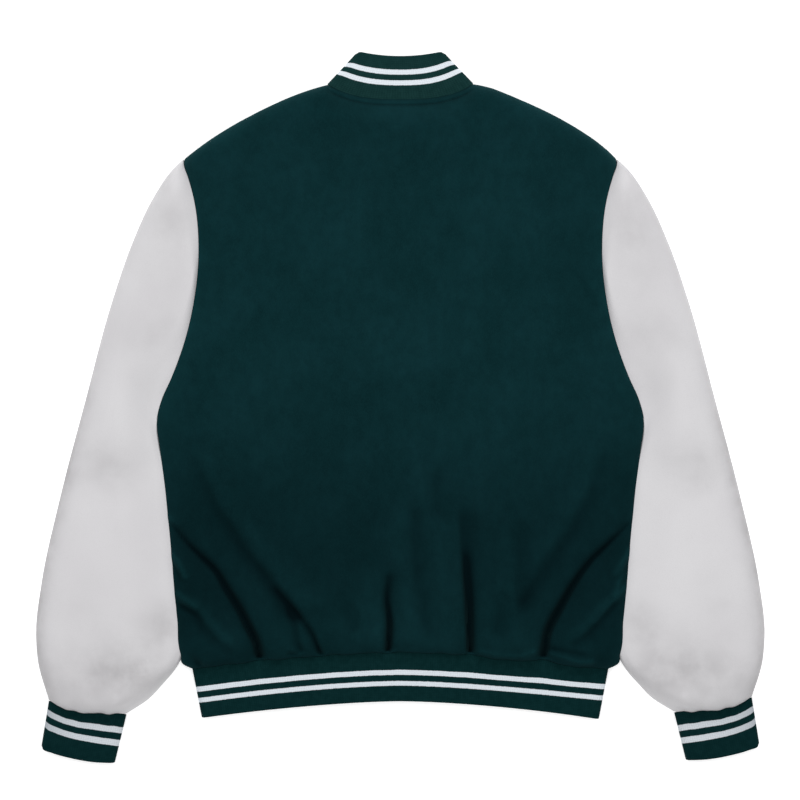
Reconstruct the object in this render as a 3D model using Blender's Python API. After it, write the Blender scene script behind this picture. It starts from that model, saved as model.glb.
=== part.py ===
"""Varsity-style bomber jacket, laid flat on its front with its back upwards.

The neck points to +Y, the wearer's left sleeve to -X, and the floor is z = 0. Every size below is in
millimetres and becomes metres when a mesh is made. The outline is the same on both sides, so tables
give the +X half. Each piece of cloth is a wall: a surface worked out by a function, and the same
surface moved inwards by the cloth's thickness.
"""

import bpy
import numpy as np

MM = 0.001

# cloth
WOOL_WALL = 2.0
LEATHER_WALL = 2.0
RIB_WALL = 3.0
SEAM_GAP = 0.35
TINY = 1e-4
THIN_CORNER = 0.3
CORNER_GAP = 0.9
SHOULDER_CORNER_GAP = 2.3

# heights over the floor
BODY_CROWN = 30.0
YOKE_RISE = 3.0
SLEEVE_CROWN = 36.0
RIB_HEIGHT = 14.0
HEM_MIDDLE_HEIGHT = 18.0
COLLAR_HEIGHT = 14.0
SLEEVE_SIDE_HEIGHT = 15.0
SHOULDER_POINT_HEIGHT = 11.0
SHOULDER_SEAM_HEIGHT = 13.0
UNDERARM_FOLD_HEIGHT = 3.0
CUFF_SIDE_HEIGHT = 9.0

# how far in from an edge the cloth still turns
SHOULDER_TURN = 26.0
NECK_TURN = 36.0
HEM_TURN = 24.0
FRONT_SIDE_TURN = 42.0
FRONT_SHOULDER_TURN = 16.0
SEAM_TURN = 28.0
SLEEVE_SIDE_TURN = 34.0
SLEEVE_UNDER_TURN = 22.0
SLEEVE_INNER_TURN = 85.0
FOLD_TURN = 5.0
GATHER_TURN = 38.0
RIB_TURN = 8.0

# neck and shoulders
SHOULDER_Y = 282.5
SHOULDER_HALF = 249.0
NECK_HALF = 83.7
NECK_Y = 371.5
BACK_NECK_DROP = 17.0
FRONT_NECK_DROP = 95.0
FRONT_NECK_BEND = 2.4
SHOULDER_SLOPE = 0.21
SHOULDER_BOW = 0.002
NECK_BEND = 3.0
COLLAR_TOP_HALF = 48.0
COLLAR_TOP_Y = 408.6
COLLAR_TOP_DROP = 5.0
COLLAR_FRONT_TOP_Y = 326.0

# hem
HEM_Y = -300.5
HEM_HALF = 239.5
HEM_RISE = 19.3
HEM_BEND = 1.6
BAND_Y = -356.5
BAND_HALF = 225.0
BAND_RISE = 19.5

# front closing
LAP = 14.0
FRONT_EDGE = 2.0
CAP_THICKNESS = 2.5
CAP_RADIUS = 7.5
CAP_EDGE = 0.8
LEFT_LIFT = CAP_THICKNESS + 0.3
LAP_GAP = 0.35
SNAP_COUNT = 7
FIRST_SNAP_Y = 255.0
LAST_SNAP_Y = -318.0

UNDERARM_Y = -17.0


def table(columns, rows):
    """A small table: each named column as an array, one entry for each row."""
    return dict(zip(columns.split(), np.array(rows, float).T))


# side seam, then armhole, from the hem up. back_z: height of the back's edge. turn: how far in it turns.
BODY_EDGE = table("y half back_z turn round", [
    (-300.5, 239.5, 7.0, 10.0, 1.0),
    (-297.0, 246.3, 9.5, 14.0, 1.0),
    (-285.0, 252.4, 15.0, 24.0, 1.0),
    (-245.0, 257.6, 18.0, 28.0, 1.0),
    (-152.0, 265.7, 18.0, 28.0, 1.0),
    (-80.0, 272.9, 17.0, 28.0, 1.0),
    (-45.0, 276.6, 13.0, 22.0, 1.0),
    (-17.0, 279.6, 8.5, 16.0, 0.9),
    (8.0, 273.5, 11.0, 18.0, 0.6),
    (32.0, 262.6, 16.0, 22.0, 0.3),
    (78.0, 246.0, 22.0, 26.0, 0.0),
    (124.0, 235.7, 24.0, 26.0, 0.0),
    (181.0, 231.0, 24.0, 26.0, 0.0),
    (240.0, 237.2, 22.0, 26.0, 0.0),
    (264.0, 243.9, 18.0, 22.0, 0.3),
    (282.5, 249.0, 11.0, 16.0, 1.0),
])

# where the body is cut across, and the sleeve's points along the armhole
SIDE_ROWS = (-300.5, -297.0, -289.0, -272.0, -245.0, -212.0, -180.0, -148.0, -116.0, -84.0, -60.0, -38.0)
ARMHOLE_ROWS = (-17.0, -9.0, 4.0, 22.0, 46.0, 76.0, 110.0)
UPPER_ARMHOLE_ROWS = (146.0, 151.5, 165.0, 188.0, 220.0, 249.0, 267.0, 278.0, 282.5)

# across the half body, as shares of its width
SIDE_COLUMNS = (1.0, 0.992, 0.965, 0.915)
SHOULDER_COLUMNS = (0.81, 0.66, 0.50, NECK_HALF / SHOULDER_HALF)
NECK_COLUMNS = (0.93, 0.75, 0.50, 0.25)

# a sleeve's sections. outer: share of the way along its outer line. inner_y: where it meets the armhole,
# and below the underarm the inner fold
SLEEVE_SECTIONS = table("place outer inner_y", [
    (0.00, 0.000, 146.0),
    (0.05, 0.045, 110.0),
    (0.10, 0.095, 76.0),
    (0.15, 0.150, 46.0),
    (0.20, 0.205, 22.0),
    (0.25, 0.258, 4.0),
    (0.30, 0.305, -9.0),
    (0.35, 0.350, -17.0),
    (0.41, 0.405, -38.0),
    (0.48, 0.475, -72.0),
    (0.55, 0.560, -116.0),
    (0.62, 0.650, -165.0),
    (0.69, 0.740, -215.0),
    (0.77, 0.825, -258.0),
    (0.84, 0.885, -288.0),
    (0.90, 0.935, -316.0),
    (0.96, 0.975, -339.0),
    (1.00, 1.000, -353.4),
])
UNDERARM_PLACE = 0.35

SLEEVE_OUTER = [
    (249.4, 282.5), (260.0, 273.0), (285.2, 238.6), (306.5, 192.6), (330.6, 123.6), (361.7, 8.6),
    (391.6, -106.4), (411.7, -198.4), (418.6, -262.0), (416.3, -292.0), (404.6, -336.5),
]
# the sleeve's inner fold, from the cuff up
SLEEVE_FOLD = table("y x", [
    (-353.4, 315.2),
    (-339.0, 293.0),
    (-318.5, 273.0),
    (-301.0, 258.5),
    (-284.0, 250.0),
    (-262.0, 248.0),
    (-210.0, 253.0),
    (-140.0, 261.0),
    (-84.0, 267.5),
    (-52.0, 275.0),
    (-32.0, 278.6),
    (-17.0, 279.95),
])
CUFF_SEAM = [
    (404.6, -336.5), (393.4, -345.2), (374.4, -350.3), (349.5, -352.4), (315.2, -353.4),
]
CUFF_EDGE = [
    (413.0, -389.0), (410.5, -394.0), (400.8, -398.5), (378.8, -404.2), (355.4, -407.9), (328.7, -408.8),
]

# the body's largest folds: start and end in plan, how deep, how wide
BODY_FOLDS = table("x0 y0 x1 y1 depth width", [
    (-236.0, -90.0, -150.0, -250.0, 4.5, 17.0),
    (-150.0, -190.0, -92.0, -276.0, 4.0, 15.0),
    (71.0, -100.0, 78.0, -270.0, 4.5, 15.0),
    (138.0, -150.0, 136.0, -255.0, 2.5, 15.0),
    (236.0, -112.0, 165.0, -265.0, 4.5, 17.0),
    (-15.0, -190.0, -16.0, -270.0, 2.5, 15.0),
])
# the sleeves' largest hollows, along the outer line and across from it
SLEEVE_FOLDS = table("x y depth width", [
    (340.0, -75.0, 4.0, 34.0),
    (322.0, -300.0, 4.0, 24.0),
    (262.0, 170.0, 2.5, 30.0),
])

COLOURS = {
    "wool": (0.004, 0.022, 0.026, 1.0),
    "leather": (0.62, 0.60, 0.61, 1.0),
    "rib": (0.005, 0.024, 0.028, 1.0),
    "metal": (0.60, 0.60, 0.58, 1.0),
}


def mix(a, b, share):
    return a + (b - a) * share


def clip(t):
    return np.clip(t, 0.0, 1.0)


def step(low, high, value):
    t = clip((value - low) / (high - low))
    return t * t * (3 - 2 * t)


def soft(t):
    """A slope that ends level."""
    return np.sin(np.pi / 2 * clip(t))


def turned(t):
    """A quarter round, upright where it starts and level where it ends."""
    return np.sqrt(1 - (1 - clip(t)) ** 2)


def hermite(xs, ys, x):
    """The smooth curve through a table's points, read at x."""
    slopes = np.gradient(ys, xs, axis=0)
    x = np.clip(x, xs[0], xs[-1])
    i = np.clip(np.searchsorted(xs, x) - 1, 0, len(xs) - 2)
    gap = xs[i + 1] - xs[i]
    t = (x - xs[i]) / gap
    if ys.ndim > 1:
        gap, t = gap[..., None], t[..., None]
    start = ys[i] * (1 + 2 * t) * (1 - t) ** 2 + slopes[i] * gap * t * (1 - t) ** 2
    end = ys[i + 1] * (3 - 2 * t) * t * t - slopes[i + 1] * gap * t * t * (1 - t)
    return start + end


def read(rows, column, key, value):
    return hermite(rows[key], rows[column], np.asarray(value, float))


def along(points, share):
    """The points at shares of the way along a smooth line through points."""
    points = np.array(points, float)
    lengths = np.r_[0, np.cumsum(np.linalg.norm(np.diff(points, axis=0), axis=1))]
    return hermite(lengths / lengths[-1], points, clip(np.asarray(share, float)))


def stack(*columns):
    return np.stack(np.broadcast_arrays(*columns), axis=-1)


# --- outline in plan ---------------------------------------------------------------------------


def back_top_y(x):
    """The back's top edge: two shoulders, and the neck between them."""
    out = np.maximum(np.abs(x) - NECK_HALF, 0)
    neck = BACK_NECK_DROP * (1 - clip(np.abs(x) / NECK_HALF) ** NECK_BEND)
    return NECK_Y - SHOULDER_SLOPE * out - SHOULDER_BOW * out * out - neck


def front_top_y(x):
    """The fronts' top edge: the same shoulders, and a deep round neckline."""
    out = np.maximum(np.abs(x) - NECK_HALF, 0)
    neck = FRONT_NECK_DROP * (1 - clip(np.abs(x) / NECK_HALF) ** FRONT_NECK_BEND)
    return NECK_Y - SHOULDER_SLOPE * out - SHOULDER_BOW * out * out - neck


def hem_y(share):
    """The seam of the hem band, at a share of the half width."""
    return HEM_Y + HEM_RISE * (1 - np.abs(share) ** HEM_BEND)


def body_plan(share, edge_y, top_y):
    """A point of the body: a share of its half width, on the row that meets the side at edge_y."""
    up = (edge_y - HEM_Y) / (SHOULDER_Y - HEM_Y)
    half = mix(mix(HEM_HALF, SHOULDER_HALF, up), read(BODY_EDGE, "half", "y", edge_y), share**2)
    rise = (1 - up) * (hem_y(share) - HEM_Y) + up * (top_y(share * SHOULDER_HALF) - SHOULDER_Y)
    return share * half, edge_y + rise


# --- heights -----------------------------------------------------------------------------------


def fold_depth(x, y):
    """How much the body's folds lower it at a point."""
    depth = 0
    f = BODY_FOLDS
    for x0, y0, x1, y1, deep, width in zip(f["x0"], f["y0"], f["x1"], f["y1"], f["depth"], f["width"]):
        run_x, run_y = x1 - x0, y1 - y0
        length = np.hypot(run_x, run_y)
        place = ((x - x0) * run_x + (y - y0) * run_y) / length**2
        side = ((x - x0) * run_y - (y - y0) * run_x) / length
        fade = step(-0.25, 0.35, place) * (1 - step(0.85, 1.15, place))
        depth = depth + deep * fade * np.exp(-((side / width) ** 2))
    return depth


def shoulder_z(share):
    """The height of the shoulder seam."""
    out = (np.abs(share) * SHOULDER_HALF - NECK_HALF) / (SHOULDER_HALF - NECK_HALF)
    rise = mix(COLLAR_HEIGHT / 2, SHOULDER_SEAM_HEIGHT, step(0, 0.3, out))
    return rise + (SHOULDER_POINT_HEIGHT - SHOULDER_SEAM_HEIGHT) * step(0.8, 1, out)


def rib_top(share, half, height):
    return height / 2 + height / 2 * turned((1 - np.abs(share)) * half / RIB_TURN)


def hem_top_z(share):
    middle = mix(HEM_MIDDLE_HEIGHT, RIB_HEIGHT, step(0.3, 0.95, np.abs(share)))
    return rib_top(share, HEM_HALF, middle)


def collar_top_z(share):
    return rib_top(share, NECK_HALF, COLLAR_HEIGHT)


def back_surface(share, edge_y):
    x, y = body_plan(share, edge_y, back_top_y)
    to_side = (1 - np.abs(share)) * read(BODY_EDGE, "half", "y", edge_y)
    to_top = back_top_y(share * SHOULDER_HALF) - y
    to_hem = y - hem_y(share)
    z = BODY_CROWN + YOKE_RISE * step(0, 200, y) - fold_depth(x, y)
    side_z = read(BODY_EDGE, "back_z", "y", edge_y)
    reach = to_side / read(BODY_EDGE, "turn", "y", edge_y)
    side_round = clip(read(BODY_EDGE, "round", "y", edge_y))
    z = mix(side_z, z, mix(soft(reach), turned(reach), side_round))
    across_neck = np.abs(share) * SHOULDER_HALF / NECK_HALF
    neck = 1 - step(0.85, 1.1, across_neck)
    top_z = mix(shoulder_z(share), collar_top_z(clip(across_neck)), neck)
    top_share = mix(turned(to_top / SHOULDER_TURN), soft(to_top / NECK_TURN), neck)
    z = mix(top_z, z, top_share)
    hem_reach = to_hem / HEM_TURN
    hem_share = mix(soft(hem_reach), turned(hem_reach), 0.6)
    z = mix(hem_top_z(share), z, mix(1, hem_share, turned(to_side / RIB_TURN)))
    return stack(x, y, z)


def front_lift(x, side):
    """The left front's edge lies on the snap caps, and the right front's edge lies on the left one."""
    if side < 0:
        return LEFT_LIFT * step(-50, -22, x)
    return (LEFT_LIFT + WOOL_WALL + LAP_GAP) * (1 - step(22, 50, x))


def front_edge_z(edge_y):
    """The underside's height at its side: up the side seam, and on the floor along the armhole."""
    side_z = read(BODY_EDGE, "back_z", "y", edge_y) - SEAM_GAP
    side_z = side_z - CORNER_GAP * (1 - step(HEM_Y + 15, HEM_Y + 30, edge_y))
    return side_z * (1 - step(UNDERARM_Y, UNDERARM_Y + 26, edge_y))


def front_surface(side):
    def surface(share, edge_y):
        x, y = body_plan(share, edge_y, front_top_y)
        to_side = (1 - np.abs(share)) * read(BODY_EDGE, "half", "y", edge_y)
        side_turn = mix(RIB_TURN, FRONT_SIDE_TURN, step(-310, -262, edge_y))
        z = front_edge_z(edge_y) * (1 - turned(to_side / side_turn))
        to_top = front_top_y(share * SHOULDER_HALF) - y
        across_neck = np.abs(share) * SHOULDER_HALF / NECK_HALF
        corner = step(0.9, 0.99, np.abs(share)) + 1 - step(1.0, 1.3, across_neck)
        top_z = shoulder_z(share) - SEAM_GAP - SHOULDER_CORNER_GAP * corner
        reach = to_top / FRONT_SHOULDER_TURN
        top_z = top_z * (1 - mix(soft(reach), turned(reach), step(0.85, 1.0, across_neck)))
        z = np.maximum(z, step(0.6, 1.0, across_neck) * top_z)
        return stack(x, y, np.maximum(z, front_lift(x, side)))

    return surface


def sleeve_inner(place):
    """The sleeve's inner end: down the armhole's lower half, then down the inner fold."""
    y = read(SLEEVE_SECTIONS, "inner_y", "place", place)
    x = np.where(y > UNDERARM_Y, read(BODY_EDGE, "half", "y", y) + SEAM_GAP, read(SLEEVE_FOLD, "x", "y", y))
    return stack(x, y)


def upper_armhole(share):
    """The sleeve's end along the upper armhole, from the shoulder point down."""
    y = mix(SHOULDER_Y, UPPER_ARMHOLE_ROWS[0], share)
    return stack(read(BODY_EDGE, "half", "y", y) + SEAM_GAP, y)


def sleeve_plan(share, place):
    outer = along(SLEEVE_OUTER, read(SLEEVE_SECTIONS, "outer", "place", place))
    inner = sleeve_inner(place)
    k = share[..., None]
    p = place[..., None]
    ends = np.zeros_like(share), np.ones_like(share)
    start_bow = upper_armhole(share) - mix(upper_armhole(ends[0]), upper_armhole(ends[1]), k)
    seam_bow = along(CUFF_SEAM, share) - mix(np.array(CUFF_SEAM[0]), np.array(CUFF_SEAM[-1]), k)
    plan = mix(outer, inner, k) + (1 - p) ** 6 * start_bow + p**6 * seam_bow
    return plan, np.linalg.norm(outer - inner, axis=-1)


def fold_back(around):
    """Around a flattened tube: its share across, and whether it is on top."""
    around = np.mod(around, 2)
    return np.where(around <= 1, around, 2 - around), around <= 1


def sleeve_surface(around, place):
    """The right sleeve: around is 0 to 1 over the top, from its outer side in, and 1 to 2 below."""
    around, place = np.broadcast_arrays(around, place)
    share, on_top = fold_back(around)
    plan, width = sleeve_plan(share, place)
    to_outer = share * width
    to_inner = (1 - share) * width
    from_start = np.linalg.norm(plan - sleeve_plan(share, np.zeros_like(place))[0], axis=-1)
    from_end = np.linalg.norm(plan - sleeve_plan(share, np.ones_like(place))[0], axis=-1)
    to_side = np.minimum(to_outer, to_inner)
    ease = soft(from_end / GATHER_TURN)
    gather = mix(ease, turned(from_end / GATHER_TURN), soft(to_side / SLEEVE_SIDE_TURN))
    bare = step(0.80, 0.91, place)
    below = step(UNDERARM_PLACE - 0.05, UNDERARM_PLACE, place)
    seam = soft(from_start / SEAM_TURN) * mix(soft(to_inner / SEAM_TURN), 1, below)
    side_z = mix(SHOULDER_POINT_HEIGHT, SLEEVE_SIDE_HEIGHT, soft(from_start / SEAM_TURN))
    fold_z = mix(UNDERARM_FOLD_HEIGHT, CUFF_SIDE_HEIGHT, bare)
    at_underarm = 1 - step(UNDERARM_PLACE, UNDERARM_PLACE + 0.09, place)
    fold_z = mix(fold_z, read(BODY_EDGE, "back_z", "y", UNDERARM_Y), at_underarm)

    under = 1 - turned(to_outer / mix(RIB_TURN, SLEEVE_UNDER_TURN, ease))
    under = under * mix(RIB_HEIGHT / 2, side_z, ease)
    fold_under = below * (1 - turned(to_inner / mix(FOLD_TURN, RIB_TURN * 2, bare)))
    under = np.maximum(under, fold_under * mix(RIB_HEIGHT / 2, fold_z, ease))

    crown = SLEEVE_CROWN
    f = SLEEVE_FOLDS
    for x, y, depth, reach in zip(f["x"], f["y"], f["depth"], f["width"]):
        near = np.hypot(plan[..., 0] - x, plan[..., 1] - y)
        crown = crown - depth * np.exp(-((near / reach) ** 2))
    crown = mix(side_z, crown, turned(to_outer / SLEEVE_SIDE_TURN))
    thin = fold_z + UNDERARM_FOLD_HEIGHT * turned(to_inner / FOLD_TURN)
    tucked = mix(thin, crown, step(0, SLEEVE_INNER_TURN, to_inner))
    puffed = mix(fold_z, crown, turned(to_inner / SLEEVE_SIDE_TURN))
    over = mix(crown, mix(tucked, puffed, bare), step(0.0, UNDERARM_PLACE, place))
    armhole_z = read(BODY_EDGE, "back_z", "y", np.maximum(plan[..., 1], UNDERARM_Y))
    over = mix(armhole_z, over, seam)
    over = mix(over, thin, below * (1 - step(0, FOLD_TURN * 2, to_inner)) * (1 - bare))
    rib_z = RIB_HEIGHT / 2 * (1 + turned(to_side / RIB_TURN))
    over = mix(rib_z, over, gather)
    return stack(plan[..., 0], plan[..., 1], np.where(on_top, over, under))


def cuff_surface(around, place):
    """The right cuff, from the sleeve (0) to its free edge (1)."""
    around, place = np.broadcast_arrays(around, place)
    share, on_top = fold_back(around)
    gap = SEAM_GAP + CORNER_GAP * np.abs(2 * share - 1) ** 8
    seam = along(CUFF_SEAM, share) - stack(0 * gap, gap)
    plan = mix(seam, along(CUFF_EDGE, share), place[..., None])
    width = np.linalg.norm(np.array(CUFF_SEAM[0]) - np.array(CUFF_SEAM[-1]))
    rise = turned(np.minimum(share, 1 - share) * width / RIB_TURN)
    return stack(plan[..., 0], plan[..., 1], RIB_HEIGHT / 2 * (1 + np.where(on_top, rise, -rise)))


def unroll(position):
    """Around a band that is open in front: its share of the half width, and its layer.

    0 to 1 is the left front (-1), 1 to 3 the back (0), 3 to 4 the right front (1).
    """
    share = np.where(position < 1, -position, np.where(position <= 3, position - 2, 4 - position))
    return share, np.where(position < 1, -1, np.where(position <= 3, 0, 1))


def band_surface(position, up):
    """The hem band, from its free edge (0) to its seam (1)."""
    share, layer = unroll(position)
    low = BAND_Y + BAND_RISE * (1 - np.abs(share) ** HEM_BEND)
    x = share * mix(BAND_HALF, HEM_HALF, up)
    y = mix(low, hem_y(share) - SEAM_GAP, up)
    lap = front_lift(x, 1) + (RIB_WALL - WOOL_WALL) * (1 - step(22, 50, x))
    lift = np.where(layer < 0, front_lift(x, -1), lap)
    under = RIB_HEIGHT / 2 * (1 - turned((1 - np.abs(share)) * HEM_HALF / RIB_TURN))
    return stack(x, y, np.where(layer == 0, hem_top_z(share), np.maximum(under, lift)))


def collar_surface(position, up):
    """The collar, from the neck seam (0) to its free edge (1)."""
    share, layer = unroll(position)
    back = layer == 0
    x = share * mix(NECK_HALF, COLLAR_TOP_HALF, up)
    steep = FRONT_NECK_DROP * FRONT_NECK_BEND / NECK_HALF * np.abs(share) ** (FRONT_NECK_BEND - 1)
    gap = SEAM_GAP * mix(1, 1.6 * np.hypot(1, steep), np.where(back, np.abs(share) ** 8, 1))
    low = np.where(back, back_top_y(share * NECK_HALF), front_top_y(share * NECK_HALF)) + gap
    low = low + CORNER_GAP * np.abs(share) ** 8
    drop = np.where(back, COLLAR_TOP_DROP, COLLAR_TOP_Y - COLLAR_FRONT_TOP_Y)
    high = COLLAR_TOP_Y - drop * (1 - np.abs(share) ** np.where(back, 2, FRONT_NECK_BEND))
    under = COLLAR_HEIGHT / 2 * (1 - turned((1 - np.abs(share)) * NECK_HALF / RIB_TURN))
    return stack(x, mix(low, high, up), np.where(back, collar_top_z(share), under))


# --- meshes ------------------------------------------------------------------------------------


def normals(surface, a, b, tube):
    """The surface's outward directions, from its slopes in a and b."""
    low_a, high_a = (a - TINY, a + TINY)
    if not tube:
        low_a, high_a = np.maximum(low_a, a.min()), np.minimum(high_a, a.max())
    small = TINY * (b.max() - b.min())
    run_a = surface(high_a, b) - surface(low_a, b)
    run_b = surface(a, np.minimum(b + small, b.max())) - surface(a, np.maximum(b - small, b.min()))
    n = np.cross(run_a, run_b)
    n /= np.linalg.norm(n, axis=-1, keepdims=True)
    square_edge(n[:, 0], run_a[:, 0])
    square_edge(n[:, -1], run_a[:, -1])
    if not tube:
        square_edge(n[0], run_b[0])
        square_edge(n[-1], run_b[-1])
    return n


def square_edge(n, run):
    """At a seam a wall's cut edge is square to the seam line, so it stays on its own side of it."""
    length = np.linalg.norm(run[:, :2], axis=-1, keepdims=True)
    upright = length[:, 0] < 0.2 * np.linalg.norm(run, axis=-1)
    run = run[:, :2] / np.maximum(length, 1e-12)
    across = np.stack([run[:, 1], -run[:, 0], np.zeros(len(run))], axis=-1)
    lying = step(0.3, 0.6, np.abs(n[:, 2]))[:, None]
    n -= lying * (n * across).sum(-1, keepdims=True) * across
    n[:, 2] *= lying[:, 0]
    n[upright] *= THIN_CORNER


def wall(name, surface, a_rows, b_rows, thickness, material, tube=False, mirrored=False, slit=None):
    """A closed wall of cloth: the surface over a grid, and the same grid moved inwards.

    A tube closes around. A slit is a column of the grid that opens a tube from its start to a row,
    and the point beside its start is moved straight down, as the grid is too slanted there.
    """
    a, b = np.meshgrid(a_rows, b_rows, indexing="ij")
    if slit:
        column, row = slit
        a[column, :row] -= 2 * TINY
        a[column + 1, :row] += 2 * TINY
    outer = surface(a, b)
    inward = thickness * (1 if a_rows[-1] < a_rows[0] else -1)
    outward = normals(surface, a, b, tube)
    if slit:
        outward[column - 1, 0] = 0, 0, 1
    inner = outer + inward * outward
    points = np.concatenate([outer.reshape(-1, 3), inner.reshape(-1, 3)]) * MM
    if mirrored:
        points[:, 0] *= -1
    na, nb = a.shape
    half = na * nb
    index = np.arange(half).reshape(na, nb)
    if tube:
        index = np.vstack([index, index[:1]])
    if slit:
        index[column + 1, row:] = index[column, row:]
    sheet = []
    for i in range(len(index) - 1):
        if slit and i == column:
            continue
        for j in range(nb - 1):
            near, far = index[i, j], index[i + 1, j]
            up_near, up_far = index[i, j + 1], index[i + 1, j + 1]
            sheet += [(near, far, up_far), (near, up_far, up_near)]
    edges = {(t[k], t[(k + 1) % 3]) for t in sheet for k in range(3)}
    faces = sheet + [tuple(k + half for k in reversed(t)) for t in sheet]
    for p, q in sorted(edges):
        if (q, p) not in edges:
            faces += [(q, p, p + half), (q, p + half, q + half)]
    if mirrored:
        faces = [tuple(reversed(f)) for f in faces]
    return add_object(name, points, faces, material)


def add_object(name, points, faces, material):
    mesh = bpy.data.meshes.new(name)
    mesh.from_pydata([tuple(p) for p in points], [], [tuple(int(k) for k in f) for f in faces])
    mesh.update()
    mesh.shade_smooth()
    mesh.set_sharp_from_angle(angle=np.radians(40))
    mesh.materials.append(material)
    obj = bpy.data.objects.new(name, mesh)
    bpy.context.scene.collection.objects.link(obj)
    return obj


def make_material(name, roughness, metallic=0.0):
    material = bpy.data.materials.new(name)
    material.use_nodes = True
    shader = material.node_tree.nodes["Principled BSDF"]
    shader.inputs["Base Color"].default_value = COLOURS[name]
    shader.inputs["Roughness"].default_value = roughness
    shader.inputs["Metallic"].default_value = metallic
    return material


# --- pieces ------------------------------------------------------------------------------------


def make_body(wool):
    rows = SIDE_ROWS + ARMHOLE_ROWS + UPPER_ARMHOLE_ROWS
    neck = tuple(k * NECK_HALF / SHOULDER_HALF for k in NECK_COLUMNS)
    half = SIDE_COLUMNS + SHOULDER_COLUMNS + neck
    across = tuple(-k for k in half) + (0.0,) + tuple(reversed(half))
    wall("back_panel", back_surface, across, rows, WOOL_WALL, wool)
    front = half + (FRONT_EDGE / SHOULDER_HALF, -LAP / SHOULDER_HALF)
    wall("front_right", front_surface(1), front, rows, WOOL_WALL, wool)
    front = tuple(-k for k in reversed(front))
    wall("front_left", front_surface(-1), front, rows, WOOL_WALL, wool)


def sleeve_shares():
    """A sleeve's points across, at the body's rows along the upper armhole."""
    span = SHOULDER_Y - UPPER_ARMHOLE_ROWS[0]
    return tuple((SHOULDER_Y - y) / span for y in reversed(UPPER_ARMHOLE_ROWS))


def make_sleeves(leather):
    """Each sleeve's ring opens at its inner end as far down as the armhole runs."""
    shares = sleeve_shares()
    around = shares + tuple(2 - k for k in reversed(shares[1:]))
    rings = tuple(SLEEVE_SECTIONS["place"])
    slit = len(shares) - 1, rings.index(UNDERARM_PLACE)
    for side, mirrored in (("right", False), ("left", True)):
        name = "sleeve_" + side
        wall(name, sleeve_surface, around, rings, LEATHER_WALL, leather, True, mirrored, slit)


def make_cuffs(rib):
    shares = sleeve_shares()
    around = shares + tuple(2 - k for k in reversed(shares[1:-1]))
    for side, mirrored in (("right", False), ("left", True)):
        wall("cuff_" + side, cuff_surface, around, (0.0, 0.5, 1.0), RIB_WALL, rib, True, mirrored)


def make_hem_band(rib):
    half = SIDE_COLUMNS + (0.83, 0.66, 0.48, 0.3)
    lap = LAP / HEM_HALF
    left = (-lap, 0.09, 0.2) + tuple(reversed(half))
    back = tuple(2 - k for k in half[1:]) + (1.85, 2.0, 2.15) + tuple(2 + k for k in reversed(half[1:]))
    right = tuple(4 - k for k in half) + (3.8, 3.91, 4 + lap)
    wall("hem_band", band_surface, left + back + right, (0.0, 0.5, 1.0), RIB_WALL, rib)


def make_collar(rib):
    front = (FRONT_EDGE / NECK_HALF,) + tuple(reversed(NECK_COLUMNS)) + (1.0,)
    back = tuple(2 - k for k in NECK_COLUMNS)
    across = front + back + (2.0,) + tuple(4 - k for k in reversed(front + back))
    wall("collar", collar_surface, across, (0.0, 0.5, 1.0), RIB_WALL, rib)


def make_snaps(metal):
    """Caps under the left front's edge, each a low turned disc that rests on the floor."""
    sides = 16
    for i in range(SNAP_COUNT):
        y = mix(FIRST_SNAP_Y, LAST_SNAP_Y, i / (SNAP_COUNT - 1))
        rings = [(CAP_RADIUS - CAP_EDGE, 0.0), (CAP_RADIUS, CAP_EDGE), (CAP_RADIUS, CAP_THICKNESS)]
        angles = [2 * np.pi * k / sides for k in range(sides)]
        points = [(r * np.cos(t), y + r * np.sin(t), z) for r, z in rings for t in angles]
        faces = [tuple(reversed(range(sides))), tuple(range(2 * sides, 3 * sides))]
        for ring in range(len(rings) - 1):
            for k in range(sides):
                n = (k + 1) % sides
                low = ring * sides
                faces.append((low + k, low + n, low + sides + n, low + sides + k))
        add_object(f"snap_{i + 1}", np.array(points) * MM, faces, metal)


def main():
    for obj in list(bpy.data.objects):
        bpy.data.objects.remove(obj, do_unlink=True)
    wool = make_material("wool", 0.95)
    leather = make_material("leather", 0.55)
    rib = make_material("rib", 0.9)
    metal = make_material("metal", 0.35, 1.0)
    make_body(wool)
    make_sleeves(leather)
    make_cuffs(rib)
    make_hem_band(rib)
    make_collar(rib)
    make_snaps(metal)


main()
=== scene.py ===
"""Looks of a varsity-style bomber jacket that lies flat with its back upwards.

Sizes are in millimetres, in the part's own frame, and become metres when a mesh is made. Each cloth
piece is a fine closed wall on the form of its solid, with its folds, gathers and ribs in the mesh.
"""

import bpy
import numpy as np
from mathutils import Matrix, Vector


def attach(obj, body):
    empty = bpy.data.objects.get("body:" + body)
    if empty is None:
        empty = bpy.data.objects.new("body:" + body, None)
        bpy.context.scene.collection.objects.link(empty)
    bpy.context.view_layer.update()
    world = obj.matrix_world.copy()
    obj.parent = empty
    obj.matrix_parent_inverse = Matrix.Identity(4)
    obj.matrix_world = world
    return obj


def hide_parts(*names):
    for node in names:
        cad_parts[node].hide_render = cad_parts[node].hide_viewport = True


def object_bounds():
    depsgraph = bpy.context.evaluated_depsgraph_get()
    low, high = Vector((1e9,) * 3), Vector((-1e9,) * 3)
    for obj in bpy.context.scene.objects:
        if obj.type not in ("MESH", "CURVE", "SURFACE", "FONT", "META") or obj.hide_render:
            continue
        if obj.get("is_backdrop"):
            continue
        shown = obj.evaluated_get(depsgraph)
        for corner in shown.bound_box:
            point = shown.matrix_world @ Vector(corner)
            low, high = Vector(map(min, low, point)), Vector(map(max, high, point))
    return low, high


MM = 0.001

# cloth
WOOL_WALL = 2.0
LEATHER_WALL = 1.6
RIB_WALL = 3.0
SEAM_GAP = 0.35
CORNER_GAP = 0.9

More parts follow.
